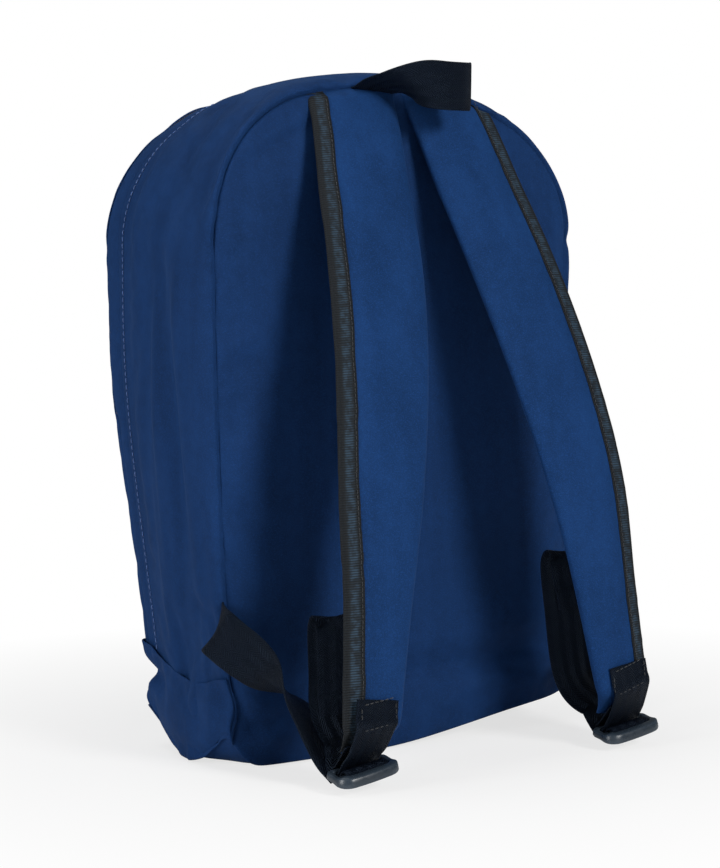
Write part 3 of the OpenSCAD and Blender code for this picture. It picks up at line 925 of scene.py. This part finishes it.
def inner_slab(name, y, inset, thickness, look, node):
    """A flat layer behind the back panel, which stops short of the floor."""
    grid, uv = face_grid(q_samples(10.0), [(inset, y), (inset + 3, y)], y, lambda x, z: 0 * x)
    grid[..., 2] = np.maximum(grid[..., 2], 6.0)
    sheet(name, settle(grid), uv, thickness, "bag", look, [node], welded=True, subdivide=0)


def build_inside():
    """Back foam, lining, and the two bound seams."""
    foam_low, foam_high = box_mm("back_foam")
    inner_slab("back_foam_sheet", foam_low[1] + 0.6, 9.0, foam_high[1] - foam_low[1] - 0.8, foam, "back_foam")
    inner_slab("back_lining_cloth", box_mm("back_lining")[0][1] + 0.2, 6.5, 0.8, inside_cloth, "back_lining")
    half = HALF_LEN - box_mm("back_seam_binding")[0][2]
    for node in ("back_seam_binding", "front_seam_binding"):
        y = box_mm(node)[0][1]
        inner_hoop(node + "_tape", (y + 0.4, y + 0.6), (5.0, 12.0), 1.4, "bag", inside_binding, node, half)


build_inside()

# ---------------------------------------------------------------- zips

CHAIN_HALF = HALF_LEN - (FOLD_Z + 1.2)      # from the top of the crown to the end of the chain
COIL_INSET = 1.8                            # depth of the chain's middle line below the cloth
TOOTH_PITCH = 1.5
TOOTH = ((-0.75, 0.62, 0.42), (-0.35, 0.92, 0.5), (0.35, 0.92, 0.5), (0.85, 0.6, 0.36))   # across, half sizes
TACK_W, TACK_H, TACK_T = 4.6, 3.4, 1.8      # a bar tack's width over the chain, height and thickness


def coil_along(points, out, side, name, body, replaces=()):
    """A zip coil: teeth laid side by side, each a rounded block that reaches across the slit."""
    along = unit(np.gradient(points, axis=0))
    run = run_lengths(points)
    teeth = []
    for at in np.arange(TOOTH_PITCH / 2, run[-1], TOOTH_PITCH):
        centre = point_at(at, run, points)
        up, forward = unit(point_at(at, run, out)), unit(point_at(at, run, along))
        across = np.cross(up, forward) * side
        teeth.append([[centre + across * a + up * high * u + forward * long * f
                       for u, f in ((1, 1), (1, -1), (-1, -1), (-1, 1))] for a, high, long in TOOTH])
    add_object(name, tubes_mesh(name, teeth), body, coil, replaces)


def build_main_zip():
    q = q_samples(2.0, CHAIN_HALF)
    for word, box, side, body in (("rear", COIL_REAR, 1, "bag"), ("front", COIL_FRONT, -1, "flap")):
        y = (box[0][1] + box[1][1]) / 2
        line = settle(shell_points(q, y, COIL_INSET))
        outer = settle(shell_points(q, y, COIL_INSET - 4))
        coil_along(line, outer - line, side, "zip_teeth_" + word, body, ["zip_coil_" + word])
    inset = COIL_INSET + 0.1
    for word, ys, body in (("rear", (BAND_Y - 7, COIL_REAR[0][1] + 0.4), "bag"),
                           ("front", (COIL_FRONT[1][1] - 0.4, FRONT_Y - 0.4), "flap")):
        node = "zip_tape_" + word
        inner_hoop(node + "_weave", ys, (inset, inset), 0.5, body, zip_tape, node, CHAIN_HALF)


def build_bar_tack(q, name, replaces):
    """Close rows of thread sewn across the end of the chain."""
    y = (COIL_REAR[0][1] + COIL_FRONT[1][1]) / 2
    middle = settle(shell_points(np.array([q]), y, COIL_INSET))[0]
    a = np.linspace(0, 2 * math.pi, 40, endpoint=False)
    upright = np.outer(TACK_H / 2 * np.cos(a), [0, 0, 1])
    through = np.outer(TACK_T / 2 * np.sin(a) * (1 + 0.15 * np.cos(10 * a)), [np.sign(q), 0, 0])
    rings = [middle + [0, t * TACK_W / 2, 0] + (1 - 0.5 * abs(t) ** 6) * (upright + through)
             for t in (-1.0, -0.85, -0.4, 0.0, 0.4, 0.85, 1.0)]
    loft(name, rings, np.zeros((len(rings), len(a), 2)), "bag", (dark_thread, "zip_chain"), replaces)


build_main_zip()
build_bar_tack(-CHAIN_HALF, "zip_bar_tack_left", ["zip_end_stops"])
build_bar_tack(CHAIN_HALF, "zip_bar_tack_right", [])
for node in ("main_slider_left", "main_slider_right", "main_pull_left", "main_pull_right",
             "pocket_slider", "pocket_pull"):
    part = frame["nodes"][node]
    part.data.materials.clear()
    part.data.materials.append(metal)

# ---------------------------------------------------------------- front pocket

POCKET_LOW, POCKET_HIGH = box_mm("pocket_gusset")
POCKET_Y = box_mm("pocket_panel")[1][1]
POCKET_SLOT = (box_mm("pocket_panel")[1][2], box_mm("pocket_top_strip")[0][2])
POCKET_R = 14.0

ROUND_POCKET = 181                          # points round the pocket's side


def pocket_ring(inset):
    """Points (x, z) round the pocket's outline with rounded corners, starting at the bottom middle."""
    half_w = (POCKET_HIGH[0] - POCKET_LOW[0]) / 2 - inset
    low, high = POCKET_LOW[2] + inset, POCKET_HIGH[2] - inset
    r = max(POCKET_R - inset, 3.0)
    path = [(0.0, low)]
    for cx, cz, start in ((half_w - r, low + r, -90), (half_w - r, high - r, 0), (-half_w + r, high - r, 90),
                          (-half_w + r, low + r, 180)):
        turns = np.radians(np.linspace(start, start + 90, 9))
        path += [(cx + r * math.cos(a), cz + r * math.sin(a)) for a in turns]
    path = np.array(path + [(0.0, low)])
    run = run_lengths(path)
    return point_at(np.linspace(0, run[-1], ROUND_POCKET), run, path).T


def pocket_face(x, z):
    """Front of the pocket, a little fuller in the middle."""
    t = np.clip((z - POCKET_LOW[2]) / (POCKET_HIGH[2] - POCKET_LOW[2]), 0, 1)
    u = np.clip((x - POCKET_LOW[0]) / (POCKET_HIGH[0] - POCKET_LOW[0]), 0, 1)
    full = np.sin(math.pi * np.clip(t * 1.12, 0, 1)) * np.sin(math.pi * u)
    return POCKET_Y - 0.5 + 1.8 * full


def on_pocket(x, z, lift=0.0):
    """Points at one height, a lift in front of the pocket's face, before they sag."""
    return np.stack([x, pocket_face(x, z) + lift, level(x, z)], -1)


def build_pocket_sides():
    """The band between the front panel and the pocket's face."""
    deep = POCKET_Y - 1.3 - FRONT_Y + 0.5
    grid, uv = [], []
    for t in np.linspace(0, 1, 6):
        x, z = pocket_ring(1.2 * (1 - math.sin(math.pi * min(t, 0.9))))
        y = level(x, FRONT_Y - 0.5 + deep * t)
        grid.append(np.stack([x, y, z], -1))
        uv.append(np.stack([np.linspace(0, 700, ROUND_POCKET), y], -1))
    body_panel("pocket_gusset_cloth", grid, uv, ["pocket_gusset"], thickness=0.9, welded=True)


def build_pocket_panel(node, z_low, z_high):
    """A flat piece of the pocket's front between two heights, with the outline's rounded corners."""
    half_w = (POCKET_HIGH[0] - POCKET_LOW[0]) / 2
    grid = []
    for z in np.linspace(z_low, z_high, max(5, int((z_high - z_low) / 5))):
        drop = max(0.0, z - (POCKET_HIGH[2] - POCKET_R), (POCKET_LOW[2] + POCKET_R) - z)
        half = half_w - POCKET_R + math.sqrt(max(POCKET_R ** 2 - drop ** 2, 0.01))
        grid.append(on_pocket(np.linspace(-half, half, 49), z))
    body_panel(node + "_cloth", grid, np.array(grid)[..., [0, 2]], [node])


def build_pocket_zip():
    """Coils and tapes behind the pocket's slit, and the stitching beside it."""
    middle = (POCKET_SLOT[0] + POCKET_SLOT[1]) / 2
    reach = box_mm("pocket_zip_coil")[1][0]
    x = np.linspace(-reach, reach, 120)
    forward = np.tile([0.0, 1.0, 0.0], (len(x), 1))
    for side, word, nodes in ((1, "", ["pocket_zip_coil"]), (-1, "_lower", [])):
        line = settle(on_pocket(x, middle + side * 1.3, -1.4))
        coil_along(line, forward, side, "pocket_zip_teeth" + word, "bag", nodes)
    for side, word in ((1, "upper"), (-1, "lower")):
        downs = (1.6, 5.0, 9.0)
        grid = settle([on_pocket(x, middle + side * d, -1.9) for d in downs])
        uv = [np.stack([level(x, 5.0 + d), x], -1) for d in downs]
        sheet("pocket_zip_tape_" + word, grid, uv, 0.5, "bag", zip_tape, ["pocket_zip_tape"], subdivide=0)
    x = np.linspace(-reach - 3, reach + 3, 260)
    forward = np.tile([0.0, 1.0, 0.0], (len(x), 1))
    runs = [(settle(on_pocket(x, z, 0.3)), forward) for z in (POCKET_SLOT[0] - 2.2, POCKET_SLOT[1] + 2.2)]
    stitches("pocket_zip_stitching", runs, "bag", pale_thread)


build_pocket_sides()
build_pocket_panel("pocket_panel", POCKET_LOW[2] + 1.0, POCKET_SLOT[0])
build_pocket_panel("pocket_top_strip", POCKET_SLOT[1], POCKET_HIGH[2] - 1.0)
build_pocket_zip()

# ---------------------------------------------------------------- shoulder straps

BOW_R = 612.0
ROOT_ANGLE = math.radians(33)
END_ANGLE = math.radians(4)
ROOT_Y = BACK_Y - 0.4
ROOT_Z = TOP_Z - 9.4
BOW_LEN = BOW_R * (ROOT_ANGLE - END_ANGLE)
STRAP_LEN = BOW_LEN + 84.0       # the bow, then a straight end
STRAP_T = 10.6
ROOT_TUCK = 8.0                  # how far the strap runs on up into the top seam
ROOT_PUFF = 5.5                  # how far the padded root stands out from the back
END_TUCK = 19.0                  # how far its end runs on between the tab's two layers
TO_LOCK = np.array([0.0, 0.616, -0.788])      # way from the strap's end down to the lock's hinge bar
STRAP_STATIONS = [(20, 99, 38), (107, 87, 48), (184, 76, 61.5), (300, 54, 68), (TOP_Z - 3, 34.5, 63)]
STRAP_PLAN = curve_through(STRAP_STATIONS, 200)      # height, distance of the strap's middle line, its width
BIND_W = 11.0


def strap_line(run):
    """Side view of the strap's face at a distance down from its root: the point and the outward direction."""
    run = np.asarray(run, float)
    angle = ROOT_ANGLE - np.clip(run, 0, BOW_LEN) / BOW_R
    bow_y = ROOT_Y + BOW_R * math.cos(ROOT_ANGLE)
    bow_z = ROOT_Z - BOW_R * math.sin(ROOT_ANGLE)
    down = np.stack([0 * run, -np.sin(angle), -np.cos(angle)], -1)
    out = np.stack([0 * run, -np.cos(angle), np.sin(angle)], -1)
    point = np.stack([0 * run, bow_y - BOW_R * np.cos(angle), bow_z + BOW_R * np.sin(angle)], -1)
    point = point + down * np.clip(run - BOW_LEN, 0, STRAP_LEN - BOW_LEN)[..., None]
    point = point + np.array([0, 0, 1.0]) * np.maximum(-run, 0)[..., None]
    point = point + out * (ROOT_PUFF * (1 - smooth(run / 70)))[..., None]
    point = point + TO_LOCK * np.maximum(run - STRAP_LEN, 0)[..., None]
    return point, out


def under_seam(points):
    """Strap points, kept off the back panel and turned in under the top seam where they reach it."""
    p = np.array(points, float)
    seam_z = CROWN_Z + np.sqrt(CROWN_R ** 2 - np.clip(p[:, 0], -CORNER_X - 25, CORNER_X + 25) ** 2) - 4.0
    seam_z = seam_z + top_lean(p[:, 0], 0.0, seam_z)
    into = smooth((p[:, 2] - seam_z + 1.5) / 4.0)
    off_back = np.minimum(p[:, 1], BACK_Y - 0.7)
    p[:, 1] = off_back + into * (BACK_Y + 3.5 - off_back)
    over = np.maximum(p[:, 2] - seam_z, 0)
    p[:, 2] = p[:, 2] - over + 2.2 * (1 - np.exp(-over / 2.2))
    return p


def strap_edges(z):
    """Distance of the strap's inner and outer edge from the middle of the body, at a height."""
    middle, width = (np.interp(z, STRAP_PLAN[:, 0], STRAP_PLAN[:, k]) for k in (1, 2))
    return middle - width / 2, middle + width / 2


def pad_profile(count=15):
    """Half thickness of the padded strap across its width: a rolled inner edge, a thin bound outer edge."""
    t = -np.cos(np.linspace(0, math.pi, count))
    inner = np.sqrt(np.clip(1 - np.abs(np.minimum(t, 0)) ** 6, 0, 1))
    outer = 1 - 0.68 * smooth((t - 0.35) / 0.5)
    half = STRAP_T / 2 * np.where(t < 0, inner, outer)
    half[0] = STRAP_T * 0.1
    return t, half


class StrapSection:
    """The padded strap's cross-section at a distance down from its root."""

    def __init__(self, run, side):
        self.point, self.out = strap_line(run)
        self.side = side
        inner, outer = strap_edges(self.point[2])
        tucked = smooth((run - STRAP_LEN + 6) / 22)
        t, half = pad_profile()
        puff = 0.7 * float(wander(run / 34.0, 0.3, 61 + side))
        self.t = t
        self.half = (half + puff * (1 - np.abs(t) ** 4) * 0.6) * (1 - 0.7 * tucked)
        self.inner = inner + 4 * tucked
        self.outer = outer - 5 * tucked
        self.middle = -STRAP_T / 2 + 0.9 * tucked

    def place(self, across, height):
        return self.point + np.array([self.side * across, 0, 0]) + self.out * height

    def half_width(self):
        return (self.outer - self.inner) / 2

    def face_height(self, across):
        """Height of the pad's face above its middle plane."""
        t = np.clip((across - self.inner) / self.half_width() - 1, -1, 1)
        return float(np.interp(t, self.t, self.half)) + 0.8 * (1 - t * t)

    def ring(self):
        across = (self.inner + self.outer) / 2 + self.t * self.half_width()
        face = [self.place(a, self.middle + self.face_height(a)) for a in across]
        back = [self.place(a, self.middle - h) for a, h in zip(across, self.half)]
        return under_seam(face + back[::-1]), np.concatenate([across, across[::-1]])


def build_strap(side, word):
    runs = np.concatenate([np.linspace(-ROOT_TUCK, STRAP_LEN, 92),
                           np.linspace(STRAP_LEN + 3, STRAP_LEN + END_TUCK, 7)])
    rings, uv = [], []
    for run in runs:
        ring, across = StrapSection(run, side).ring()
        rings.append(ring)
        uv.append(np.stack([across, level(across, run)], -1))
    loft("strap_pad_" + word, rings, uv, "strap_" + word, strap_cloth,
         ["strap_face_" + word, "strap_foam_" + word, "strap_lining_" + word], subdivide=1)
    build_strap_binding(side, word, runs[:-1])


def build_strap_binding(side, word, runs):
    """Tape folded round the outer edge, sewn through near its inner edge."""
    rings, uv, stitch_line, stitch_out = [], [], [], []
    for run in runs:
        section = StrapSection(run, side)
        wave = 1.1 * float(wander(run / 11.0, 0.7, 71 + side))
        outer_loop, inner_loop, marks = [], [], []
        for s in np.linspace(0, 1, 9):
            across = section.outer - (BIND_W + wave * 0.5) * (1 - s)
            lift = section.face_height(across) + 0.12 + (0.55 if 0.1 < s < 0.95 else 0.35)
            outer_loop.append((across, lift + wave * 0.3 * math.sin(math.pi * s)))
            inner_loop.append((across, lift - 0.5))
            marks.append(BIND_W * s)
        tip = section.outer + 1.3 + wave * 0.4
        top = outer_loop + [(tip, 0.6), (tip, -0.6)] + [(a, -b + 0.5) for a, b in outer_loop[::-1]]
        under = [(a, -b + 0.5) for a, b in inner_loop]
        under += [(section.outer + 0.5, -0.4), (section.outer + 0.5, 0.4)] + inner_loop[::-1]
        across_marks = marks + [BIND_W + 1, BIND_W + 2] + [BIND_W * 2 + 3 - m for m in marks[::-1]]
        rings.append(under_seam([section.place(a, section.middle + b) for a, b in top + under]))
        uv.append([(m, run) for m in across_marks + across_marks[::-1]])
        if run > 0:
            a, b = outer_loop[1]
            stitch_line.append(section.place(a + 0.4, section.middle + b + 0.2))
            stitch_out.append(section.out)
    loft("strap_binding_tape_" + word, rings, uv, "strap_" + word, binding, ["strap_binding_" + word])
    stitches("strap_binding_stitching_" + word, [(stitch_line, stitch_out)], "strap_" + word,
             (dark_thread, "binding_tape"), pitch=3.2, length=2.4)


for side, word in ((-1, "left"), (1, "right")):
    build_strap(side, word)

# ---------------------------------------------------------------- webbing

LOCK_BOX = box_mm("ladder_lock_right")
LOCK_X = (LOCK_BOX[0][0] + LOCK_BOX[1][0]) / 2
LOCK_HALF_W = (LOCK_BOX[1][0] - LOCK_BOX[0][0]) / 2
LOCK_HINGE = next(joint for joint in frame["joints"] if joint["name"] == "lock_right_tilt")
LOCK_Y, LOCK_Z = (value / MM for value in LOCK_HINGE["pos_m"][1:])
LOCK_TILT = math.radians(12)
TOWARDS_LIP = np.array([0, -math.cos(LOCK_TILT), -math.sin(LOCK_TILT)])
LOCK_UP = np.array([0, -math.sin(LOCK_TILT), math.cos(LOCK_TILT)])
TAB_WRAP_R = 2.45
LOCK_ROLL = 0.15                 # both locks hang with their left end lower: rise per mm to the right
TAB_X = 96.5
TAB_OFFSET = 1.9                 # the tab's middle line off the strap's face
TAIL_TURN = 0.5                  # how much the free ends are turned towards the left


def at_lock(reach, height):
    """(y, z) of a point at a reach from the hinge bar towards the lip, and a height above the lock."""
    point = np.array([0, LOCK_Y, LOCK_Z]) + TOWARDS_LIP * reach + LOCK_UP * height
    return point[1], point[2]


def build_tab(side, word, top_roll):
    """Webbing sewn over the strap's end, looped round the lock's hinge bar and sewn behind."""
    spots = []
    for up in (18, 9, 1.5):
        point, out = strap_line(STRAP_LEN - up)
        spots.append(point + out * TAB_OFFSET)
    bar = np.array([0, LOCK_Y, LOCK_Z])
    turns = np.radians(np.arange(218, 399, 20))
    wrap = [bar + TAB_WRAP_R * np.array([0, math.cos(a), math.sin(a)]) for a in turns]
    spots += [wrap[0] - TO_LOCK * 17, wrap[0] - TO_LOCK * 8] + wrap
    spots += [wrap[-1] - TO_LOCK * 9 + [0, -0.8, 0], wrap[-1] - TO_LOCK * 17 + [0, -1.4, 0]]
    xs = np.interp(np.arange(len(spots)), [0, 4, len(spots) - 1], [TAB_X, LOCK_X - 0.5, LOCK_X - 0.5])
    spine = curve_through([p + [side * x, 0, 0] for p, x in zip(spots, xs)], 90)
    across = np.tile([side, 0.0, 0.0], (len(spine), 1))
    across[:, 2] = side * (LOCK_ROLL + (top_roll - LOCK_ROLL) * smooth((spine[:, 2] - LOCK_Z - 4) / 26))
    ribbon("strap_end_tab_webbing_" + word, spine, across, WEB_T, "strap_" + word, ["strap_end_tab_" + word],
           width=WEB_W - 0.5)
    build_tab_stitching(side, word, top_roll)


def build_tab_stitching(side, word, top_roll):
    """A box of stitches that holds the tab to the strap."""
    out = strap_line(STRAP_LEN - 2)[1]
    lift = out * (TAB_OFFSET + WEB_T / 2 + 0.15)
    corners = []
    for up, across in ((17, -12.3), (17, 12.3), (2, 12.8), (2, -11.8), (17, -12.3)):
        centre = strap_line(STRAP_LEN - up)[0]
        corners.append(centre + lift + [side * (TAB_X + across), 0, side * across * top_roll])
    runs = [(corners[k:k + 2], [out, out]) for k in range(4)]
    stitches("tab_stitching_" + word, runs, "strap_" + word, (dark_thread, "black_webbing"), pitch=3.6,
             length=2.6, radius=0.35)


for side, word, top_roll in ((-1, "left", 0.10), (1, "right", 0.28)):
    build_tab(side, word, top_roll)


def turned(side, degrees):
    """Directions of a webbing's width, turned from upright towards the side."""
    turn = np.radians(degrees)
    return np.stack([side * np.sin(turn), 0 * turn, np.cos(turn)], -1)


def build_adjuster(side, word):
    """Lower webbing from the side seam towards the lock. Its path bends between the bag and the strap; the
    piece is not joined to either.
    """
    path = [
        (137.0, BACK_Y + 2.5, 90, -8.0), (143.0, BACK_Y - 3.0, 89.5, -24.0), (146.8, BACK_Y - 9, 88, -33.0),
        (144.0, BACK_Y - 18, 82, -27.0), (135.0, BACK_Y - 30, 71, 2.0), (123.0, BACK_Y - 44, 55, 42.0),
        (114.0, BACK_Y - 58, 37, 66.0), (107.0, BACK_Y - 72, 17, 86.0), (103.5, LOCK_Y + 3.5, 7.8, 90.0)]
    line = curve_through(path, 90)
    spine = line[:, :3] * [side, 1, 1]
    across = turned(side, line[:, 3])
    across[:, 2] += side * LOCK_ROLL * smooth((30 - spine[:, 2]) / 20)
    piece = ribbon("adjuster_webbing_run_" + word, spine, across, WEB_T, None, ["adjuster_webbing_" + word])
    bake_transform(piece)


def build_tail(side, word, x, top_z, drop):
    """The webbing in the lock: under it, up through the lip's slot and back over the middle bar.

    It runs on up behind the strap as a free end that folds over and hangs down by drop.
    """
    threading = [(LOCK_X, *at_lock(r, h)) for r, h in (
        (-3.0, -6.0), (4.0, -5.6), (10.0, -4.6), (13.4, -2.6), (14.2, 0.4), (13.0, 3.0), (10.0, 3.7),
        (7.2, 2.6), (5.6, -0.4), (3.6, -3.4), (-0.4, -4.3), (-5.0, -2.6))]
    rise = [(place, LOCK_Y + out, z) for place, out, z in (
        (LOCK_X - 2, 9, LOCK_Z + 4.5), (LOCK_X - 4, 15, LOCK_Z + 14), (x + 4, 20, LOCK_Z + 30),
        (x + 1, 24.5, top_z - 36), (x, 26.5, top_z - 13), (x, 25.5, top_z - 4), (x, 21.5, top_z),
        (x, 17.5, top_z - 4), (x + 0.3, 16.0, top_z - 13), (x + 1.5, 14.6, top_z - drop * 0.6),
        (x + 3, 12.6, top_z - drop))]
    spine = curve_through(threading + rise, 170) * [side, 1, 1]
    across = np.tile([1.0, 0.0, 0.0], (len(spine), 1))
    across[:, 1] = -TAIL_TURN * smooth((spine[:, 2] - 22) / 40)
    across[:, 2] = LOCK_ROLL
    left = np.linspace(1, 0, len(spine)) * len(spine)
    hem = np.where(left < 10, 2.1, 1.0)
    piece = ribbon("webbing_tail_run_" + word, spine, across, WEB_T * hem, None, ["webbing_tail_" + word],
                   cup=0.4)
    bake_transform(piece)


for side, word, x, top_z, drop in ((-1, "left", 98.0, 99.0, 58.0), (1, "right", 82.0, 123.0, 34.0)):
    build_adjuster(side, word)
    build_tail(side, word, x, top_z, drop)


def build_haul_loop():
    """Loop of webbing from the top seam. It leaves the seam flat, then turns its width upright."""
    path = [(x, BACK_Y - out, TOP_Z - down, turn) for x, out, down, turn in (
        (-19.5, -2.0, 3.5, -84.0), (-19.5, 3.0, 3.0, -83.0), (-19.0, 12, 1.0, -76.0), (-17.0, 22, 0.5, -66.0),
        (-12.5, 32, 0.5, -48.0), (-4.5, 40, 1.0, -26.0), (7.0, 45.5, 2.2, -8.0), (18.0, 47.0, 2.6, 0.0),
        (25.5, 43.0, 2.4, 2.0), (28.0, 35, 1.5, 10.0), (25.5, 22, 0, 40.0), (21.5, 8, 1.5, 72.0),
        (19.5, -2.0, 3.5, 84.0))]
    line = curve_through(path, 120)
    ribbon("haul_loop_webbing", line[:, :3], turned(1, line[:, 3]), WEB_T, "haul", ["haul_loop"], cup=-0.5)


build_haul_loop()

# ---------------------------------------------------------------- ladder locks

LOCK_REACH = 17.6                # from the hinge bar to the thumb lip
REAR_R, LIP_R = 3.0, 6.0         # the frame's corners


def section(half_wide, half_high, power=2.6, around=16):
    """A rounded-square cross-section as (wide, high) pairs."""
    a = np.arange(around) * 2 * math.pi / around
    c, s = np.cos(a), np.sin(a)
    return np.stack([half_wide * np.sign(c) * np.abs(c) ** (2 / power),
                     half_high * np.sign(s) * np.abs(s) ** (2 / power)], -1)


def lock_point(side, x, reach, height):
    centre = np.array([side * LOCK_X, LOCK_Y, LOCK_Z])
    return centre + np.array([x, 0, LOCK_ROLL * x]) + TOWARDS_LIP * reach + LOCK_UP * height


def lock_path():
    """Round the lock's frame, in steps of about 2 mm: x, reach, and the direction outwards."""
    half_x = LOCK_HALF_W - 1.8
    lip_x, lip = half_x - LIP_R, LOCK_REACH - LIP_R
    rear_x = half_x - REAR_R
    corners = []
    for cx, reach, r, start in ((lip_x, lip, LIP_R, 0), (-lip_x, lip, LIP_R, 90),
                                (-rear_x, REAR_R, REAR_R, 180), (rear_x, REAR_R, REAR_R, 270)):
        for a in np.radians(np.linspace(start, start + 90, 7)):
            corners.append([cx + r * math.cos(a), reach + r * math.sin(a), math.cos(a), math.sin(a)])
    corners = np.array(corners + corners[:1])
    path = []
    for here, after in zip(corners, corners[1:]):
        steps = max(1, int(np.hypot(*(after - here)[:2]) / 2.2))
        path += [here + (after - here) * f for f in np.arange(steps) / steps]
    return half_x, path


def lock_frame_rings(side):
    """Cross-sections round the lock's frame: thin at the hinge bar, tall and bevelled at the thumb lip."""
    half_x, path = lock_path()
    rings = []
    for x, reach, nx, nt in path:
        nx, nt = np.array([nx, nt]) / math.hypot(nx, nt)
        front = smooth((reach - 9) / 7)
        rear = smooth((3 - reach) / 3)
        wide = 1.8 + 0.9 * front - 0.2 * rear
        high = 2.0 + 1.0 * front - 0.4 * rear
        bow = 1.1 * front * (1 - (x / half_x) ** 2)
        ring = []
        for w, h in section(wide, high, 4.2):
            out = w - 0.34 * h * front
            ring.append(lock_point(side, x + nx * out, reach + nt * out + bow, h + 1.0 * front))
        rings.append(ring)
    return np.array(rings)


def bar_rings(side, reach, height, half_wide, half_high, half_len):
    ring = section(half_wide, half_high, 2.8)
    return np.array([[lock_point(side, x, reach + w, height + h) for w, h in ring]
                     for x in np.linspace(-half_len, half_len, 9)])


def shell(name, rings, faces):
    """An object to be joined with another, through rings of points."""
    mesh = make_mesh(name, rings.reshape(-1, 3), faces)
    tidy_normals(mesh)
    return new_object(name, mesh)


def build_lock(side, word):
    """A moulded ladder lock: a frame with a thumb lip, and a middle bar that grips the webbing."""
    rings = lock_frame_rings(side)
    count, around = rings.shape[:2]
    faces = [tuple(i % (count * around) for i in quad) for quad in grid_faces(count + 1, around, wrap=True)]
    lock = shell("lock_frame", rings, faces)
    bars = bar_rings(side, 9.6, 0.1, 1.7, 1.6, LOCK_HALF_W - 2.2)
    bar = shell("lock_bar", bars, tube_faces(*bars.shape[:2]))
    join = lock.modifiers.new("join", "BOOLEAN")
    join.operation = "UNION"
    join.solver = "EXACT"
    join.object = bar
    apply_modifiers(lock)
    bpy.data.objects.remove(bar)
    mesh = lock.data
    bpy.data.objects.remove(lock)
    add_object("ladder_lock_body_" + word, mesh, "lock_" + word, plastic, ["ladder_lock_" + word])


for side, word in ((-1, "left"), (1, "right")):
    build_lock(side, word)

# ---------------------------------------------------------------- floor, light and camera

WHITE = (1, 1, 1, 1)
SKY = (0.93, 0.96, 1.0, 1)
SKY_STRENGTH = 0.12
FLOOR_HALF = 8.0
FLOOR_Z = -0.0005


def switch(tree, when, off, on):
    """One shader where when is 0, the other where it is 1."""
    either = tree.nodes.new("ShaderNodeMixShader")
    for socket, source in zip(either.inputs, (when, off, on)):
        tree.links.new(source, socket)
    return either.outputs[0]


def floor_material():
    """Pale floor that fades to the white of the backdrop away from the object."""
    s = Shader("pale_floor")
    s.finish(rgba((0.9, 0.9, 0.9)), 0.9)
    far = s.node("ShaderNodeVectorMath", Vector=s.place())
    far.operation = "LENGTH"
    fade = s.span(far.outputs["Value"], 0.15, 0.5, 0.72, 1.0)
    seen = s.times(s.nodes.new("ShaderNodeLightPath").outputs["Is Camera Ray"], fade)
    glow = s.node("ShaderNodeEmission", Color=WHITE)
    made = switch(s.material.node_tree, seen, s.bsdf.outputs[0], glow.outputs[0])
    s.links.new(made, s.nodes["Material Output"].inputs[0])
    return s.material


def build_floor():
    mesh = bpy.data.meshes.new("floor")
    corners = [(x * FLOOR_HALF, y * FLOOR_HALF, FLOOR_Z) for x, y in ((-1, -1), (1, -1), (1, 1), (-1, 1))]
    mesh.from_pydata(corners, [], [(0, 1, 2, 3)])
    mesh.materials.append(floor_material())
    new_object("floor", mesh)


def build_world():
    """A dim cool sky, which the camera sees as plain white."""
    world = bpy.data.worlds.new("studio")
    world.use_nodes = True
    tree = world.node_tree
    sky = tree.nodes["Background"]
    sky.inputs[0].default_value = SKY
    sky.inputs[1].default_value = SKY_STRENGTH
    backdrop = tree.nodes.new("ShaderNodeBackground")
    backdrop.inputs[0].default_value = WHITE
    seen = tree.nodes.new("ShaderNodeLightPath").outputs["Is Camera Ray"]
    made = switch(tree, seen, sky.outputs[0], backdrop.outputs[0])
    tree.links.new(made, tree.nodes["World Output"].inputs[0])
    bpy.context.scene.world = world
    bpy.context.scene.view_settings.view_transform = "Standard"


def area_light(name, place, target, size, power, color=(1, 1, 1)):
    data = bpy.data.lights.new(name, "AREA")
    data.shape = "DISK"
    data.size = size
    data.energy = power
    data.color = color
    light = new_object(name, data)
    light.location = place
    light.rotation_euler = (Vector(target) - Vector(place)).to_track_quat("-Z", "Y").to_euler()


AZIMUTH, ELEVATION, ROLL = (math.radians(angle) for angle in (-34.63, 3.91, -1.08))
CAMERA_DISTANCE = 1.68


def build_camera():
    """The viewing angle: from behind the bag, a little to its left."""
    target = Vector((0, 0, TOP_Z / 2 * MM))
    flat = math.cos(ELEVATION)
    back = Vector((math.sin(AZIMUTH) * flat, -math.cos(AZIMUTH) * flat, math.sin(ELEVATION)))
    data = bpy.data.cameras.new("camera")
    data.sensor_width = 36
    data.sensor_fit = "AUTO"
    data.lens = 105.8
    data.shift_x = 0.0184
    data.shift_y = -0.0241
    camera = new_object("camera", data)
    camera.location = target + back * CAMERA_DISTANCE
    camera.rotation_mode = "QUATERNION"
    camera.rotation_quaternion = back.to_track_quat("Z", "Y") @ Matrix.Rotation(ROLL, 3, "Z").to_quaternion()
    bpy.context.scene.camera = camera


build_floor()
build_world()
area_light("key", (0.25, -2.3, 1.25), (0, 0, 0.2), 0.75, 40, (1.0, 0.99, 0.97))
area_light("side", (-2.3, -0.1, 0.9), (0, 0, 0.2), 1.1, 27)
area_light("top", (-0.3, 0.5, 2.0), (0, 0, 0.3), 1.0, 9)
build_camera()
